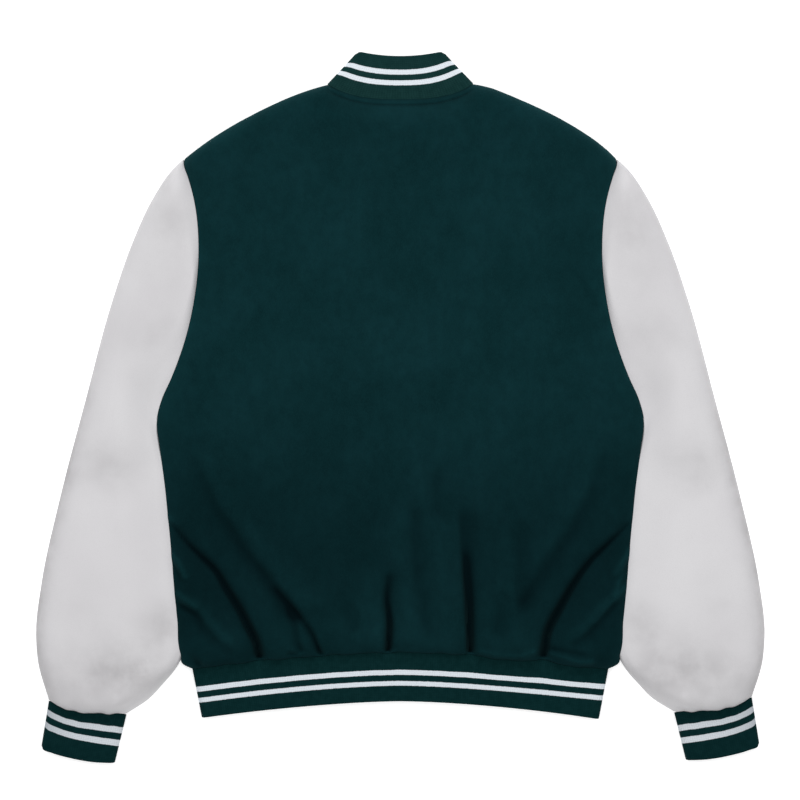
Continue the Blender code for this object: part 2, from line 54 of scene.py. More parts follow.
# heights over the floor
BODY_CROWN = 30.0
YOKE_RISE = 3.0
SLEEVE_CROWN = 36.0
RIB_HEIGHT = 14.0
HEM_MIDDLE_HEIGHT = 18.0
COLLAR_HEIGHT = 14.0
SLEEVE_SIDE_HEIGHT = 15.0
SHOULDER_POINT_HEIGHT = 11.0
SHOULDER_SEAM_HEIGHT = 13.0
SHOULDER_CORNER_GAP = 2.3
UNDERARM_FOLD_HEIGHT = 12.0
FOLD_RISE = 8.0
CUFF_SIDE_HEIGHT = 9.0

# how far in from an edge the cloth still turns
SHOULDER_TURN = 18.0
NECK_TURN = 36.0
HEM_TURN = 24.0
FRONT_SIDE_TURN = 42.0
FRONT_SHOULDER_TURN = 16.0
SEAM_TURN = 28.0
SLEEVE_SIDE_TURN = 34.0
SLEEVE_UNDER_TURN = 22.0
SLEEVE_INNER_TURN = 72.0
FOLD_SWELL = 3.0
FOLD_SWELL_TURN = 16.0
UNDERARM_TURN = 46.0
FOLD_TURN = 3.0
FOLD_UNDER_TURN = 10.0
FOLD_BLEND = 10.0
GATHER_TURN = 52.0
RIB_TURN = 8.0

# outline
SHOULDER_Y = 282.5
HEM_Y = -300.5
BODY_LENGTH = SHOULDER_Y - HEM_Y
SHOULDER_HALF = 249.0
NECK_HALF = 83.7
NECK_Y = 371.5
BACK_NECK_DROP = 17.0
FRONT_NECK_DROP = 95.0
FRONT_NECK_BEND = 2.4
SHOULDER_SLOPE = 0.21
SHOULDER_BOW = 0.002
NECK_BEND = 3.0
# how far the shoulders lie off their even curve
SHOULDER_LINE = np.array([
    (-249, 3), (-240, 2.5), (-228, 1.8), (-200, -0.2), (-172, -2), (-145, -2.4), (-117, -1.6), (-90, -0.4),
    (-76, 0), (76, 0), (90, 1), (105, 1.3), (121, 0.1), (138, -0.5), (155, -0.1), (172, 0.8), (190, 2),
    (207, 3.2), (224, 4.4), (238, 4.4), (249, 3),
]).T
COLLAR_TOP_HALF = 51.5
COLLAR_TOP_Y = 410.3
COLLAR_TOP_DROP = 6.1
COLLAR_FRONT_TOP_Y = 326.0
COLLAR_CORNER_DROP = 3.2
TIP_CENTRE = (243.4, 283.6)
TIP_RADIUS = 5.0
TIP_REACH = 4.2
HEM_HALF = 239.5
HEM_RISE = 19.3
HEM_BEND = 1.6
BAND_Y = -357.1
BAND_HALF = 228.5
BAND_RISE = 19.5
BAND_RIGHT_DROP = 1.5
UNDERARM_Y = -17.0
UNDERARM_PLACE = 0.35

# front closing
LAP = 14.0
FRONT_EDGE = 2.0
LEFT_LIFT = 2.8
LAP_GAP = 0.35
SNAP_COUNT = 7

# fine grids
WOOL_PITCH = 2.15
WOOL_ROWS = 2.3
PLAIN_ROWS = 5.5
FRONT_PITCH = 4.6
LEATHER_PITCH = 3.2
WALE_PITCH = 2.6
POINTS_PER_WALE = 4
WALE_DEPTH = 0.42
FREE_EDGE_ROUND = 1.4
TINY = 1e-4
LEATHER_ROWS = 3.36
SLEEVE_WIDTH = 150.0
SLEEVE_LENGTH = 690.0
# the back's rows are closer below this height
FINE_TOP_Y = -60.0

# how fast the waves of a rib's seam and the rise of a sleeve's end fade away from the seam, as powers
SEAM_WAVE_FADE = 4
SEAM_LIFT_FADE = 8

# painted shade and highlight that follow the form
# how deep a crease is where its painted shade is full, and how much painted highlight a raised pleat gets
FOLD_DARK_DEPTH = 13.0
FOLD_LIGHT = 0.30
# painted shade at a sleeve's outer side: how far in it reaches, and how strong it is up the arm and down the
# forearm
RIM_REACH = 22.0
RIM_SHADE = (0.10, 0.62)
# painted shade on a cuff's stripes at its outer side, and the share of its width over which it fades
CUFF_SHADE = 0.85
CUFF_SHADE_REACH = 0.25

# stitches along the back of the neck
STITCH_PITCH = 3.4
STITCH_LENGTH = 2.5
STITCH_RADIUS = 0.28
STITCH_SIDES = 6
NECK_STITCH_DEPTH = 7.0
NECK_STITCH_HALF = 0.93
NECK_STITCH_COUNT = 160
# more rows for the back, this far below its top
NECK_STITCH_ROWS = np.array([4.4, 5.456, 6.16, 6.864, 7.92])

# studio, in metres, and the lens and its sensor in millimetres. The camera sees CAMERA_FRAME at its aim.
CAMERA_FRAME = 0.92
CAMERA_LENS = 200.0
CAMERA_SENSOR = 36.0
CAMERA_AIM = (-0.0004, 0.0086, 0.012)
FLOOR_HALF = 6.0
FLOOR_DROP = 0.0005
FLOOR_GLOW = 0.45
WORLD_STRENGTH = 0.40
# each area light's width and height, watts, and place. It aims at the origin.
LIGHTS = {
    "key": ((7.4, 3.2), 434.0, (0.0, 8.0, 5.44)),
    "top": ((3.0, 3.0), 40.0, (0.0, -0.25, 2.6)),
}


def table(columns, rows):
    """A small table: each named column as an array, one entry for each row."""
    return dict(zip(columns.split(), np.array(rows, float).T))


# side seam, then armhole, from the hem up; round: 1 where the back turns over in a round
BODY_EDGE = table("y half back_z turn round", [
    (-300.5, 239.5, 7, 10, 1),
    (-297, 247.4, 9.5, 14, 1),
    (-285, 252.9, 15, 18, 1),
    (-245, 257.6, 18, 22, 1),
    (-152, 265.7, 18, 22, 1),
    (-80, 272.9, 18, 22, 1),
    (-45, 276.6, 19, 20, 1),
    (-17, 279.6, 20, 17, 0.9),
    (8, 273.5, 21.5, 18, 0.6),
    (32, 262.6, 24, 20, 0.3),
    (78, 246, 26.5, 20, 0),
    (124, 235.7, 28.5, 20, 0),
    (181, 231, 28.5, 20, 0),
    (240, 237.2, 26, 20, 0),
    (264, 244.2, 20.5, 18, 0.3),
    (275, 248.2, 15.5, 15, 0.7),
    (282.5, 249, 11, 13, 1),
])

# a sleeve's sections: share of the way along its outer line, and where it meets the armhole or the fold
SLEEVE_SECTIONS = table("place outer inner_y", [
    (0, 0, 146), (0.05, 0.045, 110), (0.1, 0.095, 76), (0.15, 0.15, 46), (0.2, 0.205, 22),
    (0.25, 0.258, 4), (0.3, 0.305, -9), (0.35, 0.35, -17), (0.41, 0.405, -38), (0.48, 0.475, -72),
    (0.55, 0.56, -116), (0.62, 0.65, -165), (0.69, 0.74, -215), (0.77, 0.825, -258), (0.84, 0.885, -288),
    (0.9, 0.935, -316), (0.96, 0.975, -339), (1, 1, -353.4),
])
UPPER_ARMHOLE_Y = 146.0
SLEEVE_OUTER = [
    (249.6, 285.2), (261, 274.2), (285.2, 238.6), (306.5, 192.6), (330.6, 123.6), (361.7, 8.6),
    (391.6, -106.4), (411.7, -198.4), (418.6, -262), (416.3, -292), (404.6, -336.5),
]
SLEEVE_FOLD = table("y x", [
    (-353.4, 315.2), (-339, 293), (-318.5, 273), (-301, 258.5), (-284, 250), (-262, 248), (-210, 253),
    (-140, 261), (-84, 267.5), (-52, 275), (-32, 278.6), (-17, 279.95),
])
CUFF_SEAM = [(404.6, -336.5), (393.4, -343.2), (374.4, -350), (349.5, -352.4), (315.2, -353.4)]
CUFF_EDGE = [
    (413.2, -391.4), (411.4, -394.2), (400.8, -398.5), (378.8, -404.2), (355.4, -407.9), (328.7, -408.8),
]

# how far nearer the collar than that each cuff's free edge and seam lie, at the outer and inner end
CUFF_LIFT = {"right": (4.6, 2.9), "left": (1.5, -0.3)}
SEAM_LIFT = {"right": (4.0, 3.4), "left": (0.0, 1.2)}

# The body's creases, each as it is handed to crease_depth: the points that it runs along, its depth
# and its width at its start and its end, how sharp its steep side is, on which side it rises gently
# as seen along the run (1 the right, -1 the left), and how far the cloth stands up beside it.
CREASES = {
    "left long": ([(-270, -126), (-245, -155), (-212, -188), (-185, -232), (-166, -270), (-162, -290)],
        (1.6, 2.8), (14, 20), 0.22, 1, 0.12),
    "left long core": ([(-262, -134), (-245, -155), (-229, -171), (-212, -188), (-199, -210), (-185, -232),
        (-174, -254), (-166, -270), (-162, -290)], (2.2, 12), (4.2, 6.5), 0.55, -1, 0),
    "left broad": ([(-237, -58), (-223, -92), (-210, -119), (-193, -141), (-177, -166), (-155, -193),
        (-133, -223), (-117, -240)], (2.4, 5.4), (10, 13), 0.42, 1, 0.22),
    "left broad core": ([(-143, -206), (-127, -225), (-113, -243), (-100, -262), (-95, -274), (-90, -285)],
        (2, 8.5), (5.5, 4.5), 0.6, 1, 0),
    "left branch": ([(-128, -232), (-121, -248), (-118, -270), (-113, -280)],
        (2.4, 4.6), (6, 4.5), 0.7, 1, 0.1),
    "left low": ([(-254, -226), (-237, -235), (-223, -256), (-210, -270), (-193, -281)],
        (4, 2.4), (5, 9), 0.45, 1, 0.5),
    "left tuck": ([(-262, -178), (-249, -199)], (2.8, 1.6), (4, 4), 0.5, 1, 0.8),
    "left corner tuck": ([(-236, -288), (-230, -297)], (3, 5), (3.5, 4), 0.8, 1, 0.2),
    "left spot": ([(-128, -282), (-119, -284)], (4, 4), (3, 3), 0.8, 1, 0.2),
    "middle left": ([(-14, -186), (-13, -222), (-12, -280)], (2.4, 3), (13, 10), 0.5, -1, 0.25),
    "middle left core": ([(-12, -192), (-16, -217), (-13, -246), (-15, -282)],
        (2.4, 12), (5, 4.2), 0.75, -1, 0),
    "middle faint": ([(-66, -205), (-52, -258)], (1.2, 3), (10, 8), 0.8, 1, 0.2),
    "middle soft": ([(17, -116), (17, -150), (18, -184), (25, -226), (32, -266)],
        (3.8, 3), (14, 12), 0.4, -1, 0.2),
    "middle high": ([(41, -72), (42, -100), (43, -130)], (3.2, 2.6), (11, 10), 0.8, -1, 0.2),
    "middle deep": ([(70, -118), (72, -160), (74, -200), (77, -284)],
        (4.6, 3.2), (22, 12), 0.16, -1, 0.15),
    "middle deep core": ([(74, -166), (75, -190), (77, -215), (78, -245), (79, -286)],
        (2.4, 13), (9, 4.6), 0.42, -1, 0),
    "right soft": ([(138, -138), (137, -180), (138, -238)], (2.6, 2.6), (12, 10), 0.5, -1, 0.2),
    "right broad": ([(234, -52), (228, -77), (217, -106), (203, -134), (181, -167), (160, -195),
        (141, -226)], (2.4, 3.8), (9, 13), 0.6, -1, 0.22),
    "right long": ([(270, -128), (239, -156), (217, -178), (199, -203), (170, -257), (164, -286)],
        (1.6, 2.8), (14, 20), 0.22, -1, 0.12),
    "right long core": ([(262, -133), (239, -156), (217, -178), (199, -203), (185, -228), (170, -257),
        (165, -287)], (2.2, 12), (4.2, 6.5), 0.55, 1, 0),
    "right low": ([(246, -224), (231, -242), (217, -260), (196, -275)], (4, 2.4), (5, 9), 0.45, -1, 0.5),
    "right tuck": ([(262, -176), (250, -196)], (2.8, 1.6), (4, 4), 0.5, -1, 0.8),
    "left edge pleat": ([(-268, -124), (-257, -137)], (-3, -2), (3.4, 3.4), 0.9, 1, 0),
    "left seam pleat": ([(-263, -167), (-254, -182), (-247, -197)], (-3.8, -3.2), (3.4, 3.4), 0.9, 1, 0),
    "left seam pleat low": ([(-257, -212), (-246, -221), (-234, -231)],
        (-3.6, -2.2), (3.4, 3.4), 0.9, 1, 0),
    "right seam pleat": ([(263, -161), (257, -181), (249, -206), (244, -217)],
        (-3.8, -2.6), (3.4, 3.4), 0.9, 1, 0),
    "right seam pleat low": ([(258, -205), (239, -230), (224, -248)], (-3.4, -1.8), (3.4, 3.4), 0.9, 1, 0),
    "right swag": ([(168, -282), (188, -287), (206, -293), (222, -292)],
        (-2.6, -2.8), (3.4, 3.4), 0.9, 1, 0),
    "right swag shade": ([(172, -276), (192, -281), (212, -284)], (2.6, 2.6), (5, 5), 0.7, 1, 0),
    "seam swag": ([(88, -280), (110, -284), (138, -286), (156, -280)], (-2, -2), (4, 4), 0.9, 1, 0),
    "middle right low": ([(118, -214), (112, -262)], (1.6, 2.8), (10, 9), 0.7, -1, 0.2),
    "armhole crease": ([(207, 144), (221, 122), (230, 112)], (1.2, 2.6), (7, 7), 0.5, 1, 0.3),
}
# shallow hollows of the body: x, y, depth, and reach along x and along y
BODY_HOLLOWS = [
    (-184, 242, 1.2, 34, 34), (158, 304, 1.2, 30, 30), (-120, 160, 0.8, 45, 45), (30, 210, 0.7, 55, 55),
    (120, 60, 0.9, 50, 50), (-60, 20, 0.9, 60, 60), (-150, -20, 1.2, 48, 48), (40, -40, 1.1, 40, 40),
    (190, -30, 1.3, 40, 40), (-20, -120, 1, 36, 36), (229, -290, 1.4, 7, 7),
]
# creases of the hidden fronts, shallow because they lie on the floor
FRONT_CREASES = {
    "front long": ([(262, -150), (214, -205), (180, -280)], (0.6, 2.4), (9, 9), 0.5, -1, 0),
    "front broad": ([(236, -90), (170, -180), (124, -275)], (0.5, 2), (14, 11), 0.6, -1, 0),
    "front inner": ([(84, -170), (80, -276)], (0.4, 1.8), (9, 8), 0.6, 1, 0),
}
# the sleeves' soft hollows, on the right sleeve. A swell has a negative depth.
SLEEVE_HOLLOWS = [
    (250, 200, 1.6, 22, 30), (287, 74, 1.8, 32, 28), (337, -84, 3, 40, 32), (302, -72, 1.8, 28, 24),
    (352, -190, -1.4, 40, 50), (276, -262, 1.2, 24, 26), (372, -290, 1.5, 30, 24), (326, -314, 1.5, 28, 20),
]
# soft patches of painted shade over the sleeve's dents, on the right sleeve
SLEEVE_SHADE_PATCHES = [
    (261, 214, 0.12, 19, 32), (268, 190, 0.13, 36, 66), (294, 80, 0.13, 34, 24), (336, -70, 0.22, 38, 32),
    (270, -248, 0.22, 20, 26), (296, -262, 0.15, 40, 28), (340, -304, 0.42, 54, 28),
    (292, -306, 0.26, 26, 24), (366, -232, 0.1, 26, 34),
]
# where the seam of the hem band hangs or is drawn up: place, rise and reach
HEM_SWAGS = [(-163, 1.5, 9), (80, 1.2, 8), (122, -2.6, 24), (163, 2.4, 9), (205, -3.6, 18)]
SLEEVE_CREASES = {
    "wrist ridge": ([(300, -276), (288, -300), (277, -326)], (-1, -1.5), (8, 9), 0.8, 1, 0),
    "wrist small": ([(325, -330), (322, -306)], (1.6, 0.6), (5, 7), 0.6, 1, 0.2),
    "wrist outer": ([(352, -340), (358, -300)], (1.4, 0.6), (7, 9), 0.7, -1, 0.2),
    "wrist side": ([(388, -336), (396, -296)], (1.6, 0.5), (7, 9), 0.7, -1, 0.2),
}

# each ribbing's length from its seam to its free edge, for the spacing of its rows, and their height
RIB_ROWS = {"hem": (57, 4.5), "collar": (40, 4.0), "cuff": (54, 4.5)}
# the same length, for the rounding of its free edge
RIB_LENGTH = {"hem": 57.0, "collar": 45.0, "cuff": 54.0}
# how far the stripes lean off the rows: factors of the 2nd, 3rd and 4th power of the place across
STRIPE_LEAN = {"hem": (0.0, 0.033, 0.02), "collar": (-0.045, -0.03, 0.0), "cuff": (-0.09, 0.0, 0.0)}
# stripes, as shares of the ribbing's height from its seam
STRIPES = {
    "hem": (0.354, 0.455, 0.582, 0.676),
    "collar": (0.320, 0.433, 0.566, 0.680),
    "cuff": (0.176, 0.298, 0.436, 0.560),
}

# colours, linear
WOOL_DARK = (0.0035, 0.0273, 0.0307, 1)
WOOL_LIGHT = (0.0054, 0.0367, 0.0424, 1)
WOOL_FIBRE = (0.0083, 0.0475, 0.0533, 1)
# the darkest wool: its mottle, the thread, and the colour of the painted shade in the fold tone
WOOL_FOLD = (0.0003, 0.0022, 0.0034, 1)
# the share of the fold tone that all the wool has, and what its low part has besides, by its height:
# darker towards the hem, partly the wool's nap and partly painted shade where it tips down
WOOL_BASE = 0.30
WOOL_LOW = np.array([
    (-320, 0.16), (-290, 0.18), (-267, 0.21), (-240, 0.29), (-180, 0.37), (-130, 0.33), (-80, 0.24),
    (-20, 0.11), (60, 0.02), (300, 0),
]).T
# how much of that the middle has, and how much more the sides have, by their height
WOOL_LOW_MIDDLE = 0.70
WOOL_LOW_SIDES = ((-260, -180), (0.90, 0.35))
LEATHER_DARK = (0.622, 0.612, 0.630, 1)
LEATHER_LIGHT = (0.655, 0.648, 0.664, 1)
LEATHER_GRAIN = (0.440, 0.425, 0.430, 1)
# the colour of the leather's painted shade
LEATHER_PAINTED_SHADE = (0.340, 0.330, 0.340, 1)
RIB_TONES = {
    "hem": ((0.0020, 0.0178, 0.0187, 1), (0.0031, 0.0222, 0.0234, 1)),
    "collar": ((0.0064, 0.0305, 0.0295, 1), (0.0084, 0.0365, 0.0352, 1)),
    "cuff": ((0.0018, 0.0162, 0.0174, 1), (0.0028, 0.0202, 0.0214, 1)),
}
# the rib's painted shade in its grooves and between its loops
RIB_GROOVE = (0.0010, 0.0085, 0.0095, 1)
# each stripe's colour, and its painted shade in the grooves and at a cuff's outer side
STRIPE_TONES = {
    "hem": ((0.690, 0.739, 0.788, 1), (0.427, 0.476, 0.525, 1)),
    "collar": ((0.775, 0.830, 0.885, 1), (0.480, 0.535, 0.590, 1)),
    "cuff": ((0.612, 0.650, 0.690, 1), (0.345, 0.375, 0.410, 1)),
}
# radians of knitted rows over the ribbing's height, at about 1.9 mm a row
LOOP_TURNS = {"hem": 185.0, "collar": 150.0, "cuff": 185.0}
METAL_DARK = (0.42, 0.42, 0.41, 1)
METAL_LIGHT = (0.58, 0.58, 0.56, 1)
FLOOR_DARK = (0.93, 0.93, 0.93, 1)
FLOOR_LIGHT = (0.95, 0.95, 0.95, 1)


def mix(a, b, share):
    return a + (b - a) * share


def clip(t):
    return np.clip(t, 0.0, 1.0)


def step(low, high, value):
    t = clip((value - low) / (high - low))
    return t * t * (3 - 2 * t)


def soft(t):
    """A slope that ends level."""
    return np.sin(np.pi / 2 * clip(t))


def turned(t):
    """A quarter round, upright where it starts and level where it ends."""
    return np.sqrt(1 - (1 - clip(t)) ** 2)


def bell(t):
    return np.exp(-(t**2))


def unit(vectors):
    return vectors / np.maximum(np.linalg.norm(vectors, axis=-1, keepdims=True), 1e-9)


def line_lengths(points):
    """How far along a line each of its points is."""
    return np.r_[0, np.cumsum(np.linalg.norm(np.diff(points, axis=0), axis=1))]


def hermite(xs, ys, x):
    """The smooth curve through a table's points, read at x."""
    slopes = np.gradient(ys, xs, axis=0)
    x = np.clip(x, xs[0], xs[-1])
    i = np.clip(np.searchsorted(xs, x) - 1, 0, len(xs) - 2)
    gap = xs[i + 1] - xs[i]
    t = (x - xs[i]) / gap
    if ys.ndim > 1:
        gap, t = gap[..., None], t[..., None]
    start = ys[i] * (1 + 2 * t) * (1 - t) ** 2 + slopes[i] * gap * t * (1 - t) ** 2
    end = ys[i + 1] * (3 - 2 * t) * t * t - slopes[i + 1] * gap * t * t * (1 - t)
    return start + end


def read(rows, column, value):
    """A table's column, where its first column has the value."""
    key = next(iter(rows.values()))
    return hermite(key, rows[column], np.asarray(value, float))


def along(points, share):
    """The points at shares of the way along a smooth line through points."""
    points = np.array(points, float)
    lengths = line_lengths(points)
    return hermite(lengths / lengths[-1], points, clip(np.asarray(share, float)))


def stack(*columns):
    return np.stack(np.broadcast_arrays(*columns), axis=-1)


# --- folds ---


def crease_depth(x, y, run, depth, width, sharp, gentle, ridge):
    """How much a crease lowers the cloth at a point."""
    samples = 64
    line = along(run, np.linspace(0, 1, samples))
    reach = 4 * max(width)
    low, high = line.min(0) - reach, line.max(0) + reach
    near = (x > low[0]) & (x < high[0]) & (y > low[1]) & (y < high[1])
    lowered = np.zeros_like(x)
    if not near.any():
        return lowered
    onward = np.gradient(line, axis=0)
    spacing = np.linalg.norm(onward, axis=1)
    onward /= spacing[:, None]
    to_x = x[near][:, None] - line[:, 0]
    to_y = y[near][:, None] - line[:, 1]
    k = (to_x**2 + to_y**2).argmin(1)
    pick = np.arange(len(k)), k
    ahead = to_x[pick] * onward[k, 0] + to_y[pick] * onward[k, 1]
    aside = gentle * (to_x[pick] * onward[k, 1] - to_y[pick] * onward[k, 0])
    t = (k + ahead / spacing[k]) / (samples - 1)
    wide = mix(*width, clip(t))
    trough = bell(aside / np.where(aside > 0, wide, wide * sharp))
    raised = bell((aside + 1.5 * wide) / wide)
    taper = wide / (spacing.mean() * (samples - 1))
    fade = step(-1.2, 1.0, t / taper) * (1 - step(-0.6, 0.9, (t - 1) / taper))
    lowered[near] = mix(*depth, clip(t)) * fade * (trough - ridge * raised)
    return lowered


def folds(x, y, creases):
    return sum(crease_depth(x, y, *crease) for crease in creases.values())


def hollows(x, y, rows):
    depth = 0
    for px, py, deep, rx, ry in rows:
        depth = depth + deep * np.exp(-(((x - px) / rx) ** 2) - ((y - py) / ry) ** 2)
    return depth


def uneven(x, y, size, seed):
    """A smooth uneven field between about -1 and 1, from a few waves of unlike lengths."""
    random = np.random.RandomState(seed)
    total = 0
    for _ in range(7):
        angle, phase = random.uniform(0, np.pi), random.uniform(0, 2 * np.pi)
        wave = 2 * np.pi / (size * random.uniform(0.7, 1.8))
        total = total + np.sin(wave * (x * np.cos(angle) + y * np.sin(angle)) + phase)
    return total / 3.5


def puckers(run, inward, size, reach, seed):
    """Small uneven gathers beside a seam: run is the way along it, inward the distance from it."""
    random = np.random.RandomState(seed)
    total = 0
    for _ in range(5):
        wave = 2 * np.pi / (size * random.uniform(0.6, 1.7))
        total = total + np.sin(wave * run + random.uniform(0, 2 * np.pi))
    return total / 3 * np.exp(-inward / reach)


# --- outline in plan ---


def shoulder_y(x):
    """The shoulders' line, level across the neck."""
    out = np.maximum(np.abs(x) - NECK_HALF, 0)
    return NECK_Y - SHOULDER_SLOPE * out - SHOULDER_BOW * out * out + np.interp(x, *SHOULDER_LINE)


def end_rise():
    """How far the shoulder line's end is over its plain height."""
    return shoulder_y(SHOULDER_HALF) - SHOULDER_Y


def lifted(y):
    """A height along the armhole or the side, raised with the end of the shoulder line."""
    return y + end_rise() * clip((y - HEM_Y) / BODY_LENGTH)


def back_top_y(x):
    """The back's top edge: two shoulders, and the neck between them."""
    return shoulder_y(x) - BACK_NECK_DROP * (1 - clip(np.abs(x) / NECK_HALF) ** NECK_BEND)


def front_top_y(x):
    """The fronts' top edge: the same shoulders, and a deep round neckline."""
    return shoulder_y(x) - FRONT_NECK_DROP * (1 - clip(np.abs(x) / NECK_HALF) ** FRONT_NECK_BEND)


def hem_line(share):
    """The hem's even curve, at a share of the half width."""
    return HEM_Y + HEM_RISE * (1 - np.abs(share) ** HEM_BEND)


def hem_y(share):
    """The seam of the hem band, which hangs and is drawn up along the even curve."""
    wave = 0.45 * (np.sin(37 * share + 1) + 0.6 * np.sin(61 * share + 2))
    for x, rise, reach in HEM_SWAGS:
        wave = wave + rise * bell((share * HEM_HALF - x) / reach)
    return hem_line(share) + wave * (1 - share**8)


def body_plan(share, edge_y, top_y):
    """A point of the body: a share of its half width, on the row that meets the side at edge_y."""
    up = (edge_y - HEM_Y) / BODY_LENGTH
    half = mix(mix(HEM_HALF, SHOULDER_HALF, up), read(BODY_EDGE, "half", edge_y), share**2)
    rise = (1 - up) * (hem_y(share) - HEM_Y) + up * (top_y(share * SHOULDER_HALF) - SHOULDER_Y)
    return round_tip(share * half, edge_y + rise)


def body_place(share, edge_y, top_y):
    """That point, and how far it is from the side, the top and the hem band."""
    x, y = body_plan(share, edge_y, top_y)
    to_side = (1 - np.abs(share)) * read(BODY_EDGE, "half", edge_y)
    return x, y, to_side, top_y(share * SHOULDER_HALF) - y, y - hem_y(share)


def across_neck(share):
    """A place across the shoulders, in half widths of the neck."""
    return np.abs(share) * SHOULDER_HALF / NECK_HALF


def at_neck(share):
    """1 across the neck, and 0 out on the shoulders."""
    return 1 - step(0.85, 1.1, across_neck(share))


def round_tip(x, y):
    """Rounds off the tip where the shoulder seam meets the armhole."""
    off_x, off_y = np.abs(x) - TIP_CENTRE[0], y - TIP_CENTRE[1]
    distance = np.maximum(np.hypot(off_x, off_y), 1e-6)
    near = np.hypot(np.abs(x) - SHOULDER_HALF, y - lifted(SHOULDER_Y)) < TIP_REACH
    pull = np.where(near & (distance > TIP_RADIUS), TIP_RADIUS / distance, 1.0)
    return np.sign(x) * (TIP_CENTRE[0] + off_x * pull), TIP_CENTRE[1] + off_y * pull


# --- surfaces ---


def shoulder_z(share):
    """The height of the shoulder seam."""
    out = (np.abs(share) * SHOULDER_HALF - NECK_HALF) / (SHOULDER_HALF - NECK_HALF)
    rise = mix(COLLAR_HEIGHT / 2, SHOULDER_SEAM_HEIGHT, step(0, 0.3, out))
    return rise + (SHOULDER_POINT_HEIGHT - SHOULDER_SEAM_HEIGHT) * step(0.8, 1, out)


def rib_round(share, half):
    """How far a ribbing's two ends have turned over into its flat face."""
    return turned((1 - np.abs(share)) * half / RIB_TURN)


def rib_top(share, half, height):
    return height / 2 + height / 2 * rib_round(share, half)


def hem_top_z(share):
    middle = mix(HEM_MIDDLE_HEIGHT, RIB_HEIGHT, step(0.3, 0.95, np.abs(share)))
    return rib_top(share, HEM_HALF, middle)


def collar_top_z(share):
    return rib_top(share, NECK_HALF, COLLAR_HEIGHT)


def back_surface(share, edge_y):
    x, y, to_side, to_top, to_hem = body_place(share, edge_y, back_top_y)
    inside = soft(to_side / 30) * soft(to_top / 30)
    z = BODY_CROWN + YOKE_RISE * step(0, 200, y) + 0.5 * uneven(x, y, 110, 3) * inside
    reach = to_side / read(BODY_EDGE, "turn", edge_y)
    side_round = clip(read(BODY_EDGE, "round", edge_y))
    z = mix(read(BODY_EDGE, "back_z", edge_y), z, mix(soft(reach), turned(reach), side_round))
    neck = at_neck(share)
    top_z = mix(shoulder_z(share), collar_top_z(clip(across_neck(share))), neck)
    z = mix(top_z, z, mix(turned(to_top / SHOULDER_TURN), soft(to_top / NECK_TURN), neck))
    hem_reach = to_hem / HEM_TURN
    hem_share = mix(soft(hem_reach), turned(hem_reach), 0.75)
    z = mix(hem_top_z(share), z, mix(1, hem_share, turned(to_side / RIB_TURN)))

    fade = soft(to_side / 9) * soft(to_top / 12) * soft(to_hem / 5)
    z = z - fade * (folds(x, y, CREASES) + hollows(x, y, BODY_HOLLOWS))
    z = z + 0.55 * puckers(x, to_hem, 17, 16, 5) * soft(to_hem / 4) * soft(to_side / 20)
    stitched = bell((to_top - NECK_STITCH_DEPTH) / 1.7)
    lip = 0.5 * bell((to_top - 3.6) / 1.8)
    seam_dip = 0.6 * bell(to_top / 1.2)
    return stack(x, y, z + neck * (lip - stitched - seam_dip))


def back_shade(share, edge_y):
    """The back's painted shade: in its creases, in its low part that tips down (there partly the wool's nap)
    and in the grooves at the neck, and painted highlight on raised pleats and along its sides and shoulders.
    """
    x, y, to_side, to_top, to_hem = body_place(share, edge_y, back_top_y)
    depth = folds(x, y, CREASES) * soft(to_hem / 8)
    # painted shade in the creases, and painted highlight on the raised pleats
    tone = clip((np.maximum(depth, 0) / FOLD_DARK_DEPTH) ** 1.5) - FOLD_LIGHT * clip(-depth / 3)
    # the low part's painted shade, more at the sides, partly the wool's nap
    sides = share**2 * np.interp(y, *WOOL_LOW_SIDES)
    low = np.interp(y, *WOOL_LOW) * (WOOL_LOW_MIDDLE + sides)
    neck = at_neck(share)
    # painted shade along the neck's seam and stitch grooves
    lines = bell((to_top - NECK_STITCH_DEPTH) / 2.0) + 0.4 * bell(to_top / 2.0)
    # painted highlight along the sides and the shoulders
    edge = np.maximum(np.exp(-to_side / 6), (1 - neck) * np.exp(-to_top / 5))
    return tone + WOOL_BASE * (1 - 0.6 * edge) + low + 0.20 * neck * lines


def front_lift(x, side):
    """The left front's edge lies on the snap caps, and the right front's edge lies on the left one."""
    if side < 0:
        return LEFT_LIFT * step(-50, -22, x)
    return (LEFT_LIFT + WOOL_WALL + LAP_GAP) * (1 - step(22, 50, x))


def front_edge_z(edge_y):
    """The underside's height at its side: up the side seam, and on the floor along the armhole."""
    side_z = read(BODY_EDGE, "back_z", edge_y) - SEAM_GAP
    side_z = side_z - CORNER_GAP * (1 - step(HEM_Y + 15, HEM_Y + 30, edge_y))
    return side_z * (1 - step(UNDERARM_Y, UNDERARM_Y + 26, edge_y))


def front_surface(side):
    """A front, from the right (-1) to the left (1), as it is seen from below."""
    def surface(place, edge_y):
        share = -place
        x, y, to_side, to_top, to_hem = body_place(share, edge_y, front_top_y)
        side_turn = mix(RIB_TURN, FRONT_SIDE_TURN, step(-310, -262, edge_y))
        z = front_edge_z(edge_y) * (1 - turned(to_side / side_turn))
        across = across_neck(share)
        corner = step(0.9, 0.99, np.abs(share)) + 1 - step(1.0, 1.3, across)
        top_z = shoulder_z(share) - SEAM_GAP - SHOULDER_CORNER_GAP * corner
        reach = to_top / FRONT_SHOULDER_TURN
        top_z = top_z * (1 - mix(soft(reach), turned(reach), step(0.85, 1.0, across)))
        z = np.maximum(z, step(0.6, 1.0, across) * top_z)
        z = np.maximum(z, front_lift(x, side))
        fade = soft(to_side / 20) * soft(to_hem / 8)
        return stack(x, y, z + fade * folds(np.abs(x), y, FRONT_CREASES))

    return surface


